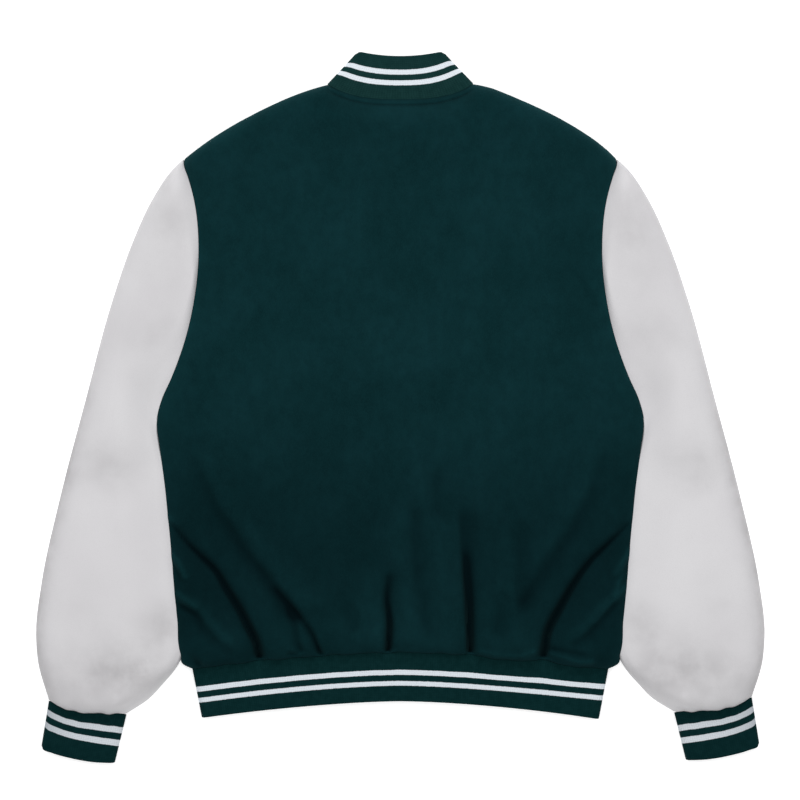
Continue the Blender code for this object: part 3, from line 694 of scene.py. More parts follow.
def sleeve_inner(place):
    """The sleeve's inner end: down the armhole's lower half, then down the inner fold."""
    y = read(SLEEVE_SECTIONS, "inner_y", place)
    x = np.where(y > UNDERARM_Y, read(BODY_EDGE, "half", y) + SEAM_GAP, read(SLEEVE_FOLD, "x", y))
    return stack(x, lifted(y))


def upper_armhole(share):
    """The sleeve's end along the upper armhole, from the shoulder point down."""
    y = mix(SHOULDER_Y, UPPER_ARMHOLE_Y, share)
    return stack(read(BODY_EDGE, "half", y) + SEAM_GAP, lifted(y))


def cuff_seam(share):
    """The seam of the cuff, which waves a little with the gathers."""
    wave = 0.6 * (np.sin(22 * share) + 0.5 * np.sin(37 * share + 1))
    wave = wave * soft(share / 0.1) * soft((1 - share) / 0.1)
    return along(CUFF_SEAM, share) + stack(0 * wave, wave)


def sleeve_plan(share, place):
    """A point of the flattened sleeve: a share of the way in from its outer side, and its width there."""
    outer = along(SLEEVE_OUTER, read(SLEEVE_SECTIONS, "outer", place))
    inner = sleeve_inner(place)
    k, p = share[..., None], place[..., None]
    start, end = np.zeros_like(share), np.ones_like(share)
    start_bow = upper_armhole(share) - mix(upper_armhole(start), upper_armhole(end), k)
    seam_bow = cuff_seam(share) - mix(np.array(CUFF_SEAM[0]), np.array(CUFF_SEAM[-1]), k)
    plan = mix(outer, inner, k) + (1 - p) ** 6 * start_bow + p**6 * seam_bow
    return plan, np.linalg.norm(outer - inner, axis=-1)


def fold_back(around):
    """Around a flattened tube: its share across, and whether it is on top."""
    around = np.mod(around, 2)
    return np.where(around <= 1, around, 2 - around), around <= 1


def seam_lift(side, share):
    """How far nearer the collar a cuff's seam lies at a share of the way in."""
    return mix(*SEAM_LIFT[side], share)


def sleeve_surface(side):
    """A sleeve, as the right one, with its end moved as far as its cuff's seam is."""
    def surface(around, place):
        x, y, z = np.moveaxis(sleeve_form(around, place), -1, 0)
        return stack(x, y + seam_lift(side, fold_back(around)[0]) * place**SEAM_LIFT_FADE, z)

    return surface


def sleeve_form(around, place):
    """The right sleeve: around is 0 to 1 over the top, from its outer side in, and 1 to 2 below."""
    share, on_top = fold_back(around)
    plan, width = sleeve_plan(share, place)
    x, y = plan[..., 0], plan[..., 1]
    to_outer, to_inner = share * width, (1 - share) * width
    to_side = np.minimum(to_outer, to_inner)
    from_start = np.linalg.norm(plan - sleeve_plan(share, np.zeros_like(place))[0], axis=-1)
    from_end = np.linalg.norm(plan - sleeve_plan(share, np.ones_like(place))[0], axis=-1)
    ease = soft(from_end / GATHER_TURN)
    gather = mix(ease, turned(from_end / GATHER_TURN), soft(to_side / SLEEVE_SIDE_TURN))
    bare = step(0.80, 0.91, place)
    below = step(UNDERARM_PLACE - 0.05, UNDERARM_PLACE, place)
    inner_turn = mix(SEAM_TURN, UNDERARM_TURN, step(0.10, 0.28, place))
    eased_below = step(UNDERARM_PLACE - 0.14, UNDERARM_PLACE, place)
    seam = soft(from_start / SEAM_TURN) * mix(soft(to_inner / inner_turn), 1, eased_below)
    side_z = mix(SHOULDER_POINT_HEIGHT, SLEEVE_SIDE_HEIGHT, soft(from_start / SEAM_TURN))
    fold_z = mix(UNDERARM_FOLD_HEIGHT, CUFF_SIDE_HEIGHT, bare)
    at_underarm = 1 - step(UNDERARM_PLACE, UNDERARM_PLACE + 0.09, place)
    fold_z = mix(fold_z, read(BODY_EDGE, "back_z", UNDERARM_Y), at_underarm)

    under = 1 - turned(to_outer / mix(RIB_TURN, SLEEVE_UNDER_TURN, ease))
    under = under * mix(RIB_HEIGHT / 2, side_z, ease)
    fold_under = below * (1 - turned(to_inner / mix(FOLD_UNDER_TURN, RIB_TURN * 2, bare)))
    under = np.maximum(under, fold_under * mix(RIB_HEIGHT / 2, fold_z, ease))
    sunk = hollows(x, y, SLEEVE_HOLLOWS)
    under = under + 0.45 * np.maximum(sunk, 0) * soft(to_side / 30) * soft(from_end / 20)

    crown = mix(side_z, SLEEVE_CROWN, turned(to_outer / SLEEVE_SIDE_TURN))
    thin = fold_z + FOLD_RISE * (1 - at_underarm) * turned(to_inner / FOLD_TURN)
    thin = thin + FOLD_SWELL * soft(to_inner / FOLD_SWELL_TURN) * (1 - at_underarm)
    tucked = mix(thin, crown, step(0, SLEEVE_INNER_TURN, to_inner))
    puffed = mix(fold_z, crown, turned(to_inner / SLEEVE_SIDE_TURN))
    over = mix(crown, mix(tucked, puffed, bare), step(0.0, UNDERARM_PLACE, place))
    slant = end_rise() / BODY_LENGTH
    level = (y + slant * HEM_Y) / (1 + slant)
    armhole_z = read(BODY_EDGE, "back_z", np.maximum(level, UNDERARM_Y))
    over = mix(armhole_z, over, seam)
    over = mix(over, thin, below * (1 - step(0, FOLD_BLEND, to_inner)) * (1 - bare))
    rib_z = RIB_HEIGHT / 2 * (1 + turned(to_side / RIB_TURN))
    over = mix(rib_z, over, gather)

    fade = soft(to_side / 16) * soft(from_start / 12) * soft(from_end / 6)
    dents = sunk + folds(x, y, SLEEVE_CREASES) + 0.35 * uneven(x, y, 70, 11)
    over = over - fade * dents
    over = over + 0.5 * puckers(to_outer, from_end, 13, 12, 8) * soft(from_end / 3) * soft(to_side / 12)
    return stack(x, y, np.where(on_top, over, under))


def sleeve_shade(around, place):
    """Painted shade on the leather: towards its outer side, more so down the forearm, and in soft patches.
    """
    share, on_top = fold_back(around)
    plan, width = sleeve_plan(share, place)
    rim = clip(1 - share * width / RIM_REACH) ** 2 * mix(*RIM_SHADE, step(0.3, 0.6, place))
    # painted shade over the dents, on top only
    patches = hollows(plan[..., 0], plan[..., 1], SLEEVE_SHADE_PATCHES)
    return rim + patches * on_top


def cuff_surface(side):
    """A cuff, as the right one, from the sleeve (0) to its free edge (1)."""
    def surface(around, place):
        share, on_top = fold_back(around)
        gap = SEAM_GAP + CORNER_GAP * np.abs(2 * share - 1) ** 8
        even = along(CUFF_SEAM, share)
        wave = (cuff_seam(share) - even) * (1 - place[..., None]) ** SEAM_WAVE_FADE
        seam = even + stack(0 * gap, seam_lift(side, share) - gap)
        edge = along(CUFF_EDGE, share) + stack(0 * share, mix(*CUFF_LIFT[side], share))
        plan = mix(seam, edge, place[..., None]) + wave
        width = np.linalg.norm(np.array(CUFF_SEAM[0]) - np.array(CUFF_SEAM[-1]))
        rise = turned(np.minimum(share, 1 - share) * width / RIB_TURN)
        return stack(plan[..., 0], plan[..., 1], RIB_HEIGHT / 2 * (1 + np.where(on_top, rise, -rise)))

    return surface


def cuff_shade(around, _):
    """Painted shade on a cuff's stripes: most at its outer side."""
    return CUFF_SHADE * np.exp(-fold_back(around)[0] / CUFF_SHADE_REACH)


def unroll(position):
    """Around a band that is open in front: its share of the half width, and its layer.

    0 to 1 is the left front (-1), 1 to 3 the back (0), 3 to 4 the right front (1).
    """
    share = np.where(position < 1, -position, np.where(position <= 3, position - 2, 4 - position))
    return share, np.where(position < 1, -1, np.where(position <= 3, 0, 1))


def band_surface(position, up):
    """The hem band, from its free edge (0) to its seam (1)."""
    share, layer = unroll(position)
    low = BAND_Y + BAND_RISE * (1 - np.abs(share) ** HEM_BEND) - BAND_RIGHT_DROP * clip(share) ** 3
    x = share * mix(BAND_HALF, HEM_HALF, up)
    even = hem_line(share)
    y = mix(low, even - SEAM_GAP, up) + (hem_y(share) - even) * up**SEAM_WAVE_FADE
    lap = front_lift(x, 1) + (RIB_WALL - WOOL_WALL) * (1 - step(22, 50, x))
    lift = np.where(layer < 0, front_lift(x, -1), lap)
    under = RIB_HEIGHT / 2 * (1 - rib_round(share, HEM_HALF))
    wave = 0.35 * puckers(x, (1 - up) * 60, 19, 40, 21) * soft((1 - np.abs(share)) * 12)
    return stack(x, y, np.where(layer == 0, hem_top_z(share) + wave, np.maximum(under, lift)))


def collar_surface(position, up):
    """The collar, from the neck seam (0) to its free edge (1)."""
    share, layer = unroll(position)
    back = layer == 0
    x = share * mix(NECK_HALF, COLLAR_TOP_HALF, up)
    steep = FRONT_NECK_DROP * FRONT_NECK_BEND / NECK_HALF * np.abs(share) ** (FRONT_NECK_BEND - 1)
    gap = np.where(back, SEAM_GAP * np.abs(share) ** 40, SEAM_GAP * 1.6 * np.hypot(1, steep))
    low = np.where(back, back_top_y(share * NECK_HALF), front_top_y(share * NECK_HALF)) + gap
    drop = np.where(back, COLLAR_TOP_DROP, COLLAR_TOP_Y - COLLAR_FRONT_TOP_Y)
    high = COLLAR_TOP_Y - drop * (1 - np.abs(share) ** np.where(back, 2, FRONT_NECK_BEND))
    high = high - COLLAR_CORNER_DROP * clip((np.abs(share) - 0.84) / 0.16) ** 2
    under = COLLAR_HEIGHT / 2 * (1 - rib_round(share, NECK_HALF))
    return stack(x, mix(low, high, up), np.where(back, collar_top_z(share), under))


# --- grids ---


def eased(length, pitch, start=True, end=True):
    """Shares along a length, a pitch apart, and closer at the ends that turn over."""
    close = np.array([0, 0.08, 0.25, 0.55, 1.0, 1.6, 2.4, 3.4, 4.6, 6.0, 7.7, 9.7, 12.0])
    close = close[close < length / 3]
    low = close if start else np.array([0.0])
    high = length - close[::-1] if end else np.array([length])
    count = max(2, int(round((high[0] - low[-1]) / pitch)))
    middle = np.linspace(low[-1], high[0], count + 1)[1:-1]
    return np.concatenate([low, middle, high]) / length


def joined(*runs):
    """Distances along runs end to end. A run: its length and pitch, and whether each end is closer."""
    at, total = [0.0], 0.0
    for length, pitch, start, end in runs:
        at.extend(total + length * eased(length, pitch, start, end)[1:])
        total += length
    return np.array(at)


def with_points(values, extra):
    """The values with some more among them, and none nearer than a fifth of a step to those."""
    extra = np.array(extra, float)
    gap = np.abs(np.diff(values)).min()
    kept = [v for v in values if np.abs(extra - v).min() > 0.2 * gap]
    return np.sort(np.r_[kept, extra])


def wale_columns(surface, start, end, tube):
    """Columns along a ribbed band, POINTS_PER_WALE to a wale, evenly spaced at half its height."""
    dense = np.linspace(start, end, 4000)
    lengths = line_lengths(surface(dense, np.full_like(dense, 0.5)))
    count = int(round(lengths[-1] / WALE_PITCH)) * POINTS_PER_WALE
    columns = np.interp(np.linspace(0, lengths[-1], count + 1), lengths, dense)
    return (columns[:-1] if tube else columns), np.arange(count + 1) / POINTS_PER_WALE


def slopes(points, axis, tube):
    """Differences along an axis of a grid of points, closed if it goes round."""
    if tube:
        return np.roll(points, -1, axis) - np.roll(points, 1, axis)
    return np.gradient(points, axis=axis)


def grid_quads(numbers, left_out):
    """The quads between neighbours in a grid of numbers, without a column's own."""
    quads = np.stack([numbers[:-1, :-1], numbers[1:, :-1], numbers[1:, 1:], numbers[:-1, 1:]], axis=-1)
    return np.delete(quads, left_out, axis=0).reshape(-1, 4)


def cloth(name, surface, a, b, thickness, material, tube=False, mirrored=False, slit=None,
          free=None, ribs=None, marks=None, shade=None):
    """A fine closed wall: the surface over a grid, and the same grid moved inwards.

    slit is the column after which a tube is open, and the b value up to which it is. free is each
    row's distance from a free edge, which is rounded. ribs is how far each column stands out. marks
    gives the cloth's own two coordinates at each grid point, with one more column on a tube. shade
    gives each point its painted shade and highlight, which the material reads as "fold".
    """
    grid_a, grid_b = np.meshgrid(a, b, indexing="ij")
    if slit:
        column, end = slit
        closed = b >= end
        grid_a[column, ~closed] -= 2 * TINY
        grid_a[column + 1, ~closed] += 2 * TINY
    outer = surface(grid_a, grid_b)
    run_a = slopes(outer, 0, tube)
    if slit:
        run_a[column] = outer[column] - outer[column - 1]
        run_a[column + 1] = outer[column + 2] - outer[column + 1]
        run_a[column, closed] = (outer[column + 2] - outer[column - 1])[closed]
        run_a[column + 1, closed] = run_a[column, closed]
    normal = unit(np.cross(run_a, slopes(outer, 1, False))) * np.sign(a[1] - a[0])
    for row in (0, -1):
        square_edge(normal[:, row], run_a[:, row])
    thin = np.zeros(grid_a.shape)
    if free is not None:
        thin += FREE_EDGE_ROUND * (1 - turned(free / FREE_EDGE_ROUND))
    raised = 0 if ribs is None else ribs[:, None]
    top = outer + normal * (raised - thin)[..., None]
    inner = outer - normal * (thickness - thin)[..., None]
    points = np.concatenate([top.reshape(-1, 3), inner.reshape(-1, 3)])

    half = grid_a.size
    index = np.arange(half).reshape(grid_a.shape)
    if tube:
        index = np.vstack([index, index[:1]])
    if slit:
        index[column + 1, closed] = index[column, closed]
    left_out = [column] if slit else []
    quads = grid_quads(index, left_out)
    corners = grid_quads(np.arange(index.size).reshape(index.shape), left_out)
    if a[1] < a[0]:
        quads, corners = quads[:, ::-1], corners[:, ::-1]
    edges = np.concatenate([quads[:, [k, (k + 1) % 4]] for k in range(4)])
    codes = edges[:, 0] * half + edges[:, 1]
    border = edges[~np.isin(codes, edges[:, 1] * half + edges[:, 0])]
    rim = np.stack([border[:, 1], border[:, 0], border[:, 0] + half, border[:, 1] + half], axis=-1)
    faces = np.concatenate([quads, quads[:, ::-1] + half, rim])
    way = -1 if mirrored else 1
    obj = add_mesh(name, points * [way, 1, 1], faces[:, ::way].tolist(), material)
    obj.data.set_sharp_from_angle(angle=np.radians(70))
    if shade is not None:
        tone = shade(grid_a, grid_b).reshape(-1)
        attribute = obj.data.attributes.new("fold", "FLOAT", "POINT")
        attribute.data.foreach_set("value", np.concatenate([tone, tone]).astype(np.float32))
    if marks is not None:
        flat = marks.reshape(-1, 2)
        at_vertex = np.zeros((half, 2))
        at_vertex[index.reshape(-1)[::-1]] = flat[::-1]
        uv = np.concatenate([flat[corners], flat[corners[:, ::-1]], at_vertex[rim % half]])
        layer = obj.data.uv_layers.new(name="cloth")
        layer.data.foreach_set("uv", uv[:, ::way].reshape(-1).astype(np.float32))
    return obj


def square_edge(normal, run):
    """At a seam the wall's cut edge is square to the seam line, so it stays on its own side of it."""
    run = unit(run[:, :2])
    across = np.stack([run[:, 1], -run[:, 0], np.zeros(len(run))], axis=-1)
    lying = step(0.3, 0.6, np.abs(normal[:, 2]))[:, None]
    normal -= lying * (normal * across).sum(-1, keepdims=True) * across


def add_object(name, data, location=(0.0, 0.0, 0.0)):
    obj = bpy.data.objects.new(name, data)
    obj.location = location
    bpy.context.scene.collection.objects.link(obj)
    return obj


def add_mesh(name, points, faces, material):
    """A smooth piece of the part, from points in millimetres."""
    mesh = bpy.data.meshes.new(name)
    mesh.from_pydata((points * MM).tolist(), [], faces)
    mesh.update()
    mesh.shade_smooth()
    mesh.materials.append(material)
    obj = add_object(name, mesh)
    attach(obj, "root")
    return obj


# --- materials ---


class Nodes:
    """A material's node tree, with short calls for adding linked nodes."""

    def __init__(self, name):
        self.material = bpy.data.materials.new(name)
        self.material.use_nodes = True
        self.tree = self.material.node_tree
        self.shader = self.tree.nodes["Principled BSDF"]

    def fill(self, node, values):
        for key, value in values.items():
            if isinstance(value, bpy.types.NodeSocket):
                self.tree.links.new(value, node.inputs[key])
            else:
                node.inputs[key].default_value = value

    def add(self, kind, values=(), **settings):
        node = self.tree.nodes.new("ShaderNode" + kind)
        for key, value in settings.items():
            setattr(node, key, value)
        self.fill(node, dict(values))
        return node

    def place(self):
        return self.add("TexCoord").outputs["Object"]

    def fold(self):
        """The painted shade and highlight that cloth() gives each point."""
        return self.add("Attribute", attribute_name="fold").outputs["Fac"]

    def noise(self, scale, detail=2.0, rough=0.5, squeeze=1.0):
        """Noise, drawn out along Y where squeeze is under 1."""
        place = self.place()
        if squeeze != 1.0:
            place = self.add("Mapping", {"Vector": place, "Scale": (1.0, squeeze, 1.0)}).outputs["Vector"]
        values = {"Scale": scale, "Detail": detail, "Roughness": rough, "Vector": place}
        return self.add("TexNoise", values).outputs["Fac"]

    def math(self, operation, a, b=0.0, c=0.0, clamp=False):
        return self.add("Math", {0: a, 1: b, 2: c}, operation=operation, use_clamp=clamp).outputs[0]

    def between(self, value, low, high, to_low=0.0, to_high=1.0):
        values = {"Value": value, "From Min": low, "From Max": high, "To Min": to_low, "To Max": to_high}
        return self.add("MapRange", values, interpolation_type="SMOOTHSTEP").outputs["Result"]

    def blend(self, share, a, b):
        return self.add("Mix", {0: share, 6: a, 7: b}, data_type="RGBA").outputs[2]

    def bump(self, height, strength, distance):
        values = {"Height": height, "Strength": strength, "Distance": distance}
        return self.add("Bump", values).outputs["Normal"]

    def finish(self, **inputs):
        """The material, with what its shader's inputs are set to or linked from."""
        self.fill(self.shader, {key.replace("_", " "): value for key, value in inputs.items()})
        return self.material


def wool_material():
    """Melton: a felted dark teal with short lying fibres and a faint cloudy tone."""
    n = Nodes("melton_wool")
    cloud = n.noise(14, 3, 0.55)
    fibre = n.noise(900, 3, 0.7, 0.45)
    felt = n.noise(260, 4, 0.65)
    colour = n.blend(n.between(cloud, 0.3, 0.7), WOOL_DARK, WOOL_LIGHT)
    mottle = n.noise(95, 4, 0.65, 0.7)
    colour = n.blend(n.between(mottle, 0.32, 0.68, 0.0, 0.19), colour, WOOL_FOLD)
    colour = n.blend(n.between(fibre, 0.35, 0.75, 0.0, 0.34), colour, WOOL_FIBRE)
    streak = n.noise(60, 3, 0.6, 0.35)
    colour = n.blend(n.between(streak, 0.35, 0.7, 0.0, 0.22), colour, WOOL_DARK)
    # painted shade and highlight, from the fold tone
    colour = n.blend(n.math("MINIMUM", n.fold(), 0.92), colour, WOOL_FOLD)
    height = n.math("MULTIPLY_ADD", felt, 0.7, n.math("MULTIPLY", fibre, 0.5))
    rough = n.between(felt, 0.3, 0.7, 0.86, 0.98)
    normal = n.bump(height, 0.40, 0.0006)
    return n.finish(Base_Color=colour, Roughness=rough, Normal=normal, Sheen_Weight=0.04,
                    Sheen_Roughness=0.5, Sheen_Tint=(0.3, 0.85, 0.9, 1.0), Specular_IOR_Level=0.02)


def leather_material():
    """Smooth leather: pale warm grey with a fine pebble and a soft satin."""
    n = Nodes("smooth_leather")
    cloud = n.noise(9, 3, 0.5)
    pebble = n.add("TexVoronoi", {"Vector": n.place(), "Scale": 780.0, "Randomness": 1.0},
                   feature="DISTANCE_TO_EDGE").outputs["Distance"]
    pore = n.noise(1500, 2, 0.6)
    colour = n.blend(n.between(cloud, 0.3, 0.7), LEATHER_DARK, LEATHER_LIGHT)
    colour = n.blend(n.between(pebble, 0.0, 0.12, 0.16, 0.0), colour, LEATHER_GRAIN)
    # painted shade towards the outer side and in soft patches, a little uneven
    rim_and_dent_shade = n.math("MULTIPLY", n.fold(), n.between(n.noise(34, 4, 0.6), 0.3, 0.7, 0.65, 1.35))
    colour = n.blend(rim_and_dent_shade, colour, LEATHER_PAINTED_SHADE)
    height = n.math("MULTIPLY_ADD", n.between(pebble, 0.0, 0.22), 0.7, n.math("MULTIPLY", pore, 0.3))
    rough = n.between(n.noise(40, 3, 0.6), 0.3, 0.7, 0.46, 0.58)
    normal = n.bump(height, 0.16, 0.0003)
    return n.finish(Base_Color=colour, Roughness=rough, Normal=normal, Specular_IOR_Level=0.25)


def rib_material(kind):
    """Rib knit: wales of small stitches, with the two stripes as knitted rows, and painted shade in its
    grooves and between its loops.
    """
    n = Nodes("rib_" + kind)
    split = n.add("SeparateXYZ", {"Vector": n.add("UVMap", uv_map="cloth").outputs["UV"]})
    wale, height = split.outputs["X"], split.outputs["Y"]
    edge = 0.006
    row = n.math("ADD", height, n.math("MULTIPLY_ADD", n.noise(420, 2), 0.014, -0.007))
    bands = []
    for low, high in (STRIPES[kind][:2], STRIPES[kind][2:]):
        over = n.between(row, low - edge, low + edge)
        under = n.between(row, high - edge, high + edge, 1, 0)
        bands.append(n.math("MULTIPLY", over, under))
    stripe = n.math("ADD", *bands, clamp=True)
    wave = n.math("ABSOLUTE", n.math("SINE", n.math("MULTIPLY", wale, np.pi)))
    lean = n.math("ABSOLUTE", n.math("SINE", n.math("MULTIPLY", wale, 2 * np.pi)))
    loop = n.math("SINE", n.math("MULTIPLY_ADD", lean, 1.4, n.math("MULTIPLY", height, LOOP_TURNS[kind])))
    groove = n.between(wave, 0.0, 0.45, 0.32, 0.0)
    dark = n.blend(n.between(n.noise(160, 3), 0.3, 0.7), *RIB_TONES[kind])
    light, light_groove = STRIPE_TONES[kind]
    # painted shade on the stripes from the fold tone, which only the cuffs have
    light = n.blend(n.fold(), light, light_groove)
    # the painted shade in the grooves between the wales and between the knitted loops
    shade = n.blend(stripe, RIB_GROOVE, light_groove)
    colour = n.blend(stripe, dark, light)
    colour = n.blend(groove, colour, shade)
    colour = n.blend(n.between(loop, -1.0, -0.2, 0.22, 0.0), colour, shade)
    bumps = n.math("MULTIPLY_ADD", loop, 0.35, n.math("MULTIPLY", n.noise(1100, 2), 0.6))
    normal = n.bump(bumps, 0.5, 0.0004)
    return n.finish(Base_Color=colour, Roughness=0.85, Normal=normal, Sheen_Weight=0.02,
                    Sheen_Roughness=0.5, Sheen_Tint=(0.4, 0.9, 0.9, 1.0), Specular_IOR_Level=0.02)


def thread_material():
    n = Nodes("thread")
    wave = n.add("TexWave", {"Vector": n.place(), "Scale": 1100.0}, bands_direction="DIAGONAL")
    twist = wave.outputs["Fac"]
    colour = n.blend(twist, WOOL_FOLD, WOOL_DARK)
    normal = n.bump(twist, 0.4, 0.0001)
    return n.finish(Base_Color=colour, Roughness=0.7, Normal=normal, Specular_IOR_Level=0.1)


def metal_material():
    n = Nodes("snap_metal")
    wear = n.noise(600, 4, 0.6)
    colour = n.blend(wear, METAL_DARK, METAL_LIGHT)
    rough = n.between(wear, 0.3, 0.7, 0.26, 0.42)
    return n.finish(Base_Color=colour, Metallic=1.0, Roughness=rough, Normal=n.bump(wear, 0.1, 0.0001))


def floor_material():
    n = Nodes("floor_white")
    colour = n.blend(n.noise(3, 2), FLOOR_DARK, FLOOR_LIGHT)
    return n.finish(Base_Color=colour, Roughness=0.9, Specular_IOR_Level=0.0,
                    Emission_Color=(1, 1, 1, 1), Emission_Strength=FLOOR_GLOW)


# --- pieces ---


def make_body(wool):
    low_rows = FINE_TOP_Y - HEM_Y, WOOL_ROWS, True, False
    high_rows = SHOULDER_Y - FINE_TOP_Y, PLAIN_ROWS, False, True
    rows = with_points(HEM_Y + joined(low_rows, high_rows), SHOULDER_Y - NECK_STITCH_ROWS)
    columns = 1 - 2 * eased(2 * SHOULDER_HALF, WOOL_PITCH)
    back = cloth("back_panel_wool", back_surface, columns, rows, WOOL_WALL, wool, shade=back_shade)
    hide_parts("back_panel")
    made = [back]
    start = 1 + LAP / SHOULDER_HALF
    columns = start * eased(start * SHOULDER_HALF, FRONT_PITCH) - 1
    rows = mix(HEM_Y, SHOULDER_Y, eased(BODY_LENGTH, FRONT_PITCH))
    for side, name, across in ((1, "right", columns), (-1, "left", -columns[::-1])):
        front = cloth(f"front_{name}_wool", front_surface(side), across, rows, WOOL_WALL, wool)
        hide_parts("front_" + name)
        made.append(front)
    return made


def make_sleeves(leather):
    shares = eased(SLEEVE_WIDTH, LEATHER_PITCH)
    around = np.r_[shares, 2 - shares[::-1]][:-1]
    places = eased(SLEEVE_LENGTH, LEATHER_ROWS)
    slit = len(shares) - 1, UNDERARM_PLACE
    made = []
    for side, mirrored in (("right", False), ("left", True)):
        sleeve = cloth(f"sleeve_{side}_leather", sleeve_surface(side), around, places, LEATHER_WALL, leather,
                       tube=True, mirrored=mirrored, slit=slit, shade=sleeve_shade)
        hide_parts("sleeve_" + side)
        made.append(sleeve)
    return made


def make_band(kind, node, surface, start, end, material, mirrored=False):
    """A ribbing of rounded wales with narrow grooves. A cuff is a tube, the others are open in front."""
    tube = kind == "cuff"
    rows = eased(*RIB_ROWS[kind])
    height = 1 - rows if kind == "hem" else rows
    columns, marks = wale_columns(surface, start, end, tube)
    share = fold_back(columns)[0] if tube else unroll(columns)[0]
    share = np.r_[share, share[:1]] if tube else share
    lean = sum(factor * share**power for power, factor in enumerate(STRIPE_LEAN[kind], 2))
    ribs = WALE_DEPTH * (np.abs(np.sin(np.pi * marks[: len(columns)])) - 1)
    band = cloth(node + "_rib", surface, columns, rows, RIB_WALL, material, tube=tube, mirrored=mirrored,
                 free=(1 - height) * RIB_LENGTH[kind], ribs=ribs,
                 marks=stack(marks[:, None], height + lean[:, None]), shade=cuff_shade if tube else None)
    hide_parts(node)
    return band


def make_ribbing():
    lap, edge = LAP / HEM_HALF, FRONT_EDGE / NECK_HALF
    hem, collar, cuff = (rib_material(kind) for kind in ("hem", "collar", "cuff"))
    return [
        make_band("hem", "hem_band", band_surface, -lap, 4 + lap, hem),
        make_band("collar", "collar", collar_surface, edge, 4 - edge, collar),
        make_band("cuff", "cuff_right", cuff_surface("right"), 0.0, 2.0, cuff),
        make_band("cuff", "cuff_left", cuff_surface("left"), 0.0, 2.0, cuff, mirrored=True),
    ]


def stitch_line(name, points, normals, material):
    """A row of stitches along a line of points: each a small spindle, its ends sunk in the cloth."""
    lengths = line_lengths(points)
    count = int(lengths[-1] / STITCH_PITCH)
    middles = (np.arange(count) + 0.5) * lengths[-1] / count
    along_stitch = np.array([-1.0, -0.6, 0.0, 0.6, 1.0])
    places = middles[:, None] + along_stitch * STITCH_LENGTH / 2

    def at(values, where):
        return np.stack([np.interp(where, lengths, column) for column in values.T], axis=-1)

    centres, up = at(points, places), unit(at(normals, middles))
    aside = np.cross(unit(centres[:, -1] - centres[:, 0]), up)
    angles = np.arange(STITCH_SIDES)[:, None] * 2 * np.pi / STITCH_SIDES
    ring = np.cos(angles) * aside[:, None] + np.sin(angles) * up[:, None]
    radius = STITCH_RADIUS * np.sqrt(1.05 - along_stitch**2)
    lift = STITCH_RADIUS * 1.1 * (1 - 1.6 * along_stitch**2)
    centres = centres + lift[:, None] * up[:, None]
    spindles = centres[:, :, None] + radius[:, None, None] * ring[:, None]

    last = (len(along_stitch) - 1) * STITCH_SIDES
    faces = []
    for low in range(0, last, STITCH_SIDES):
        for k in range(STITCH_SIDES):
            n = (k + 1) % STITCH_SIDES
            faces.append((low + k, low + n, low + STITCH_SIDES + n, low + STITCH_SIDES + k))
    faces += [range(STITCH_SIDES)[::-1], range(last, last + STITCH_SIDES)]
    starts = range(0, count * (last + STITCH_SIDES), last + STITCH_SIDES)
    all_faces = [tuple(start + corner for corner in face) for start in starts for face in faces]
    return add_mesh(name, spindles.reshape(-1, 3), all_faces, material)


def make_neck_stitches(thread):
    share = np.linspace(-NECK_STITCH_HALF, NECK_STITCH_HALF, NECK_STITCH_COUNT) * NECK_HALF / SHOULDER_HALF
    low, high = np.full_like(share, 200.0), np.full_like(share, SHOULDER_Y)
    for _ in range(30):
        middle = (low + high) / 2
        deep = body_place(share, middle, back_top_y)[3] > NECK_STITCH_DEPTH
        low, high = np.where(deep, middle, low), np.where(deep, high, middle)
    points = back_surface(share, low)
    run_x = back_surface(share + TINY, low) - points
    run_y = back_surface(share, low + 0.1) - points
    line = stitch_line("neck_topstitch", points, unit(np.cross(run_x, run_y)), thread)
    return line


def make_snaps(metal, nodes):
    for i in range(SNAP_COUNT):
        node = nodes[f"snap_{i + 1}"]
        node.data.materials.clear()
        node.data.materials.append(metal)


# --- studio ---


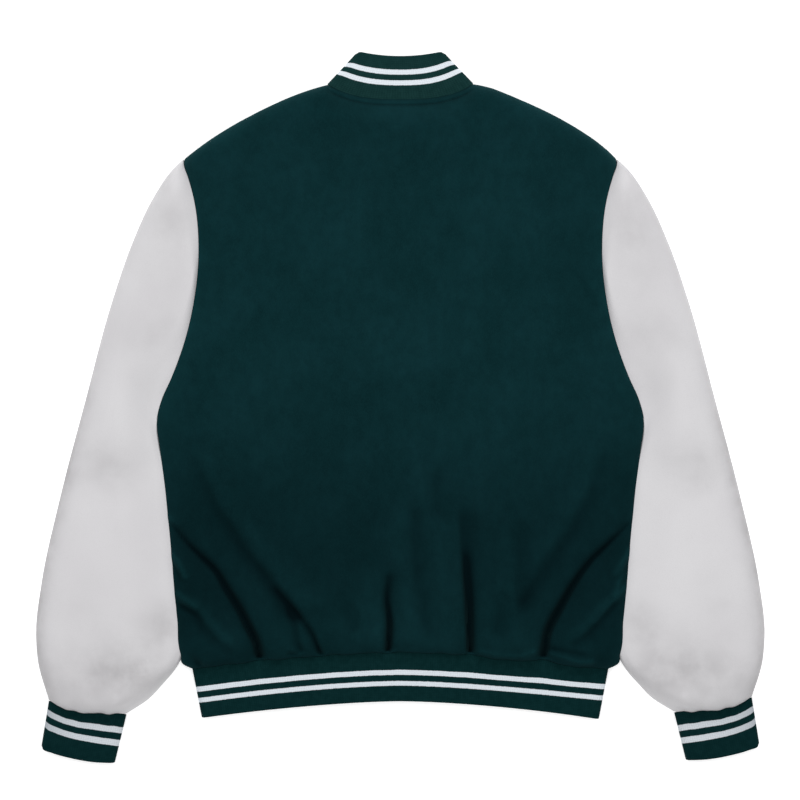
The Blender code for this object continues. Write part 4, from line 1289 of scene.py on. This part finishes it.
def make_studio():
    mesh = bpy.data.meshes.new("floor")
    square = [(x * FLOOR_HALF, y * FLOOR_HALF, 0) for x, y in ((-1, -1), (1, -1), (1, 1), (-1, 1))]
    mesh.from_pydata(square, [], [(0, 1, 2, 3)])
    mesh.materials.append(floor_material())
    add_object("floor", mesh, (0, 0, -FLOOR_DROP))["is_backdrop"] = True

    world = bpy.data.worlds.new("studio")
    world.use_nodes = True
    background = world.node_tree.nodes["Background"]
    background.inputs["Color"].default_value = (1.0, 1.0, 1.0, 1.0)
    background.inputs["Strength"].default_value = WORLD_STRENGTH
    for name, (size, watts, location) in LIGHTS.items():
        light = bpy.data.lights.new(name, "AREA")
        light.shape = "RECTANGLE"
        light.size, light.size_y = size
        light.energy = watts
        lamp = add_object(name, light, location)
        lamp.rotation_mode = "QUATERNION"
        lamp.rotation_quaternion = (Vector() - Vector(location)).to_track_quat("-Z", "Y")

    camera = bpy.data.cameras.new("camera")
    camera.lens = CAMERA_LENS
    camera.sensor_width = CAMERA_SENSOR
    camera.clip_end = 50.0
    x, y, z = CAMERA_AIM
    scene = bpy.context.scene
    scene.world = world
    scene.camera = add_object("camera", camera, (x, y, z + CAMERA_FRAME * CAMERA_LENS / CAMERA_SENSOR))
    scene.view_settings.view_transform = "Standard"
    scene.view_settings.look = "None"


def corners(bounds):
    return [[float(v) for v in corner] for corner in bounds]


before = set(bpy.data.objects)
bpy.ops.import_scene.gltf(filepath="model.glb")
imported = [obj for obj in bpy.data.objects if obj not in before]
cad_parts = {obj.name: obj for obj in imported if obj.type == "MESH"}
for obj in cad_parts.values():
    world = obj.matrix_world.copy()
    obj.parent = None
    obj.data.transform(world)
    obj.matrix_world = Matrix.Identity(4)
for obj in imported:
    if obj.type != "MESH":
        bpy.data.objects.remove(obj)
cad_box = corners(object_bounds())
body = make_body(wool_material())
sleeves = make_sleeves(leather_material())
ribbing = make_ribbing()
neck_stitches = make_neck_stitches(thread_material())
make_snaps(metal_material(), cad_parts)
make_studio()

for cuff in ribbing[2:]:
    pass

{"cad": cad_box, "visual": corners(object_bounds())}
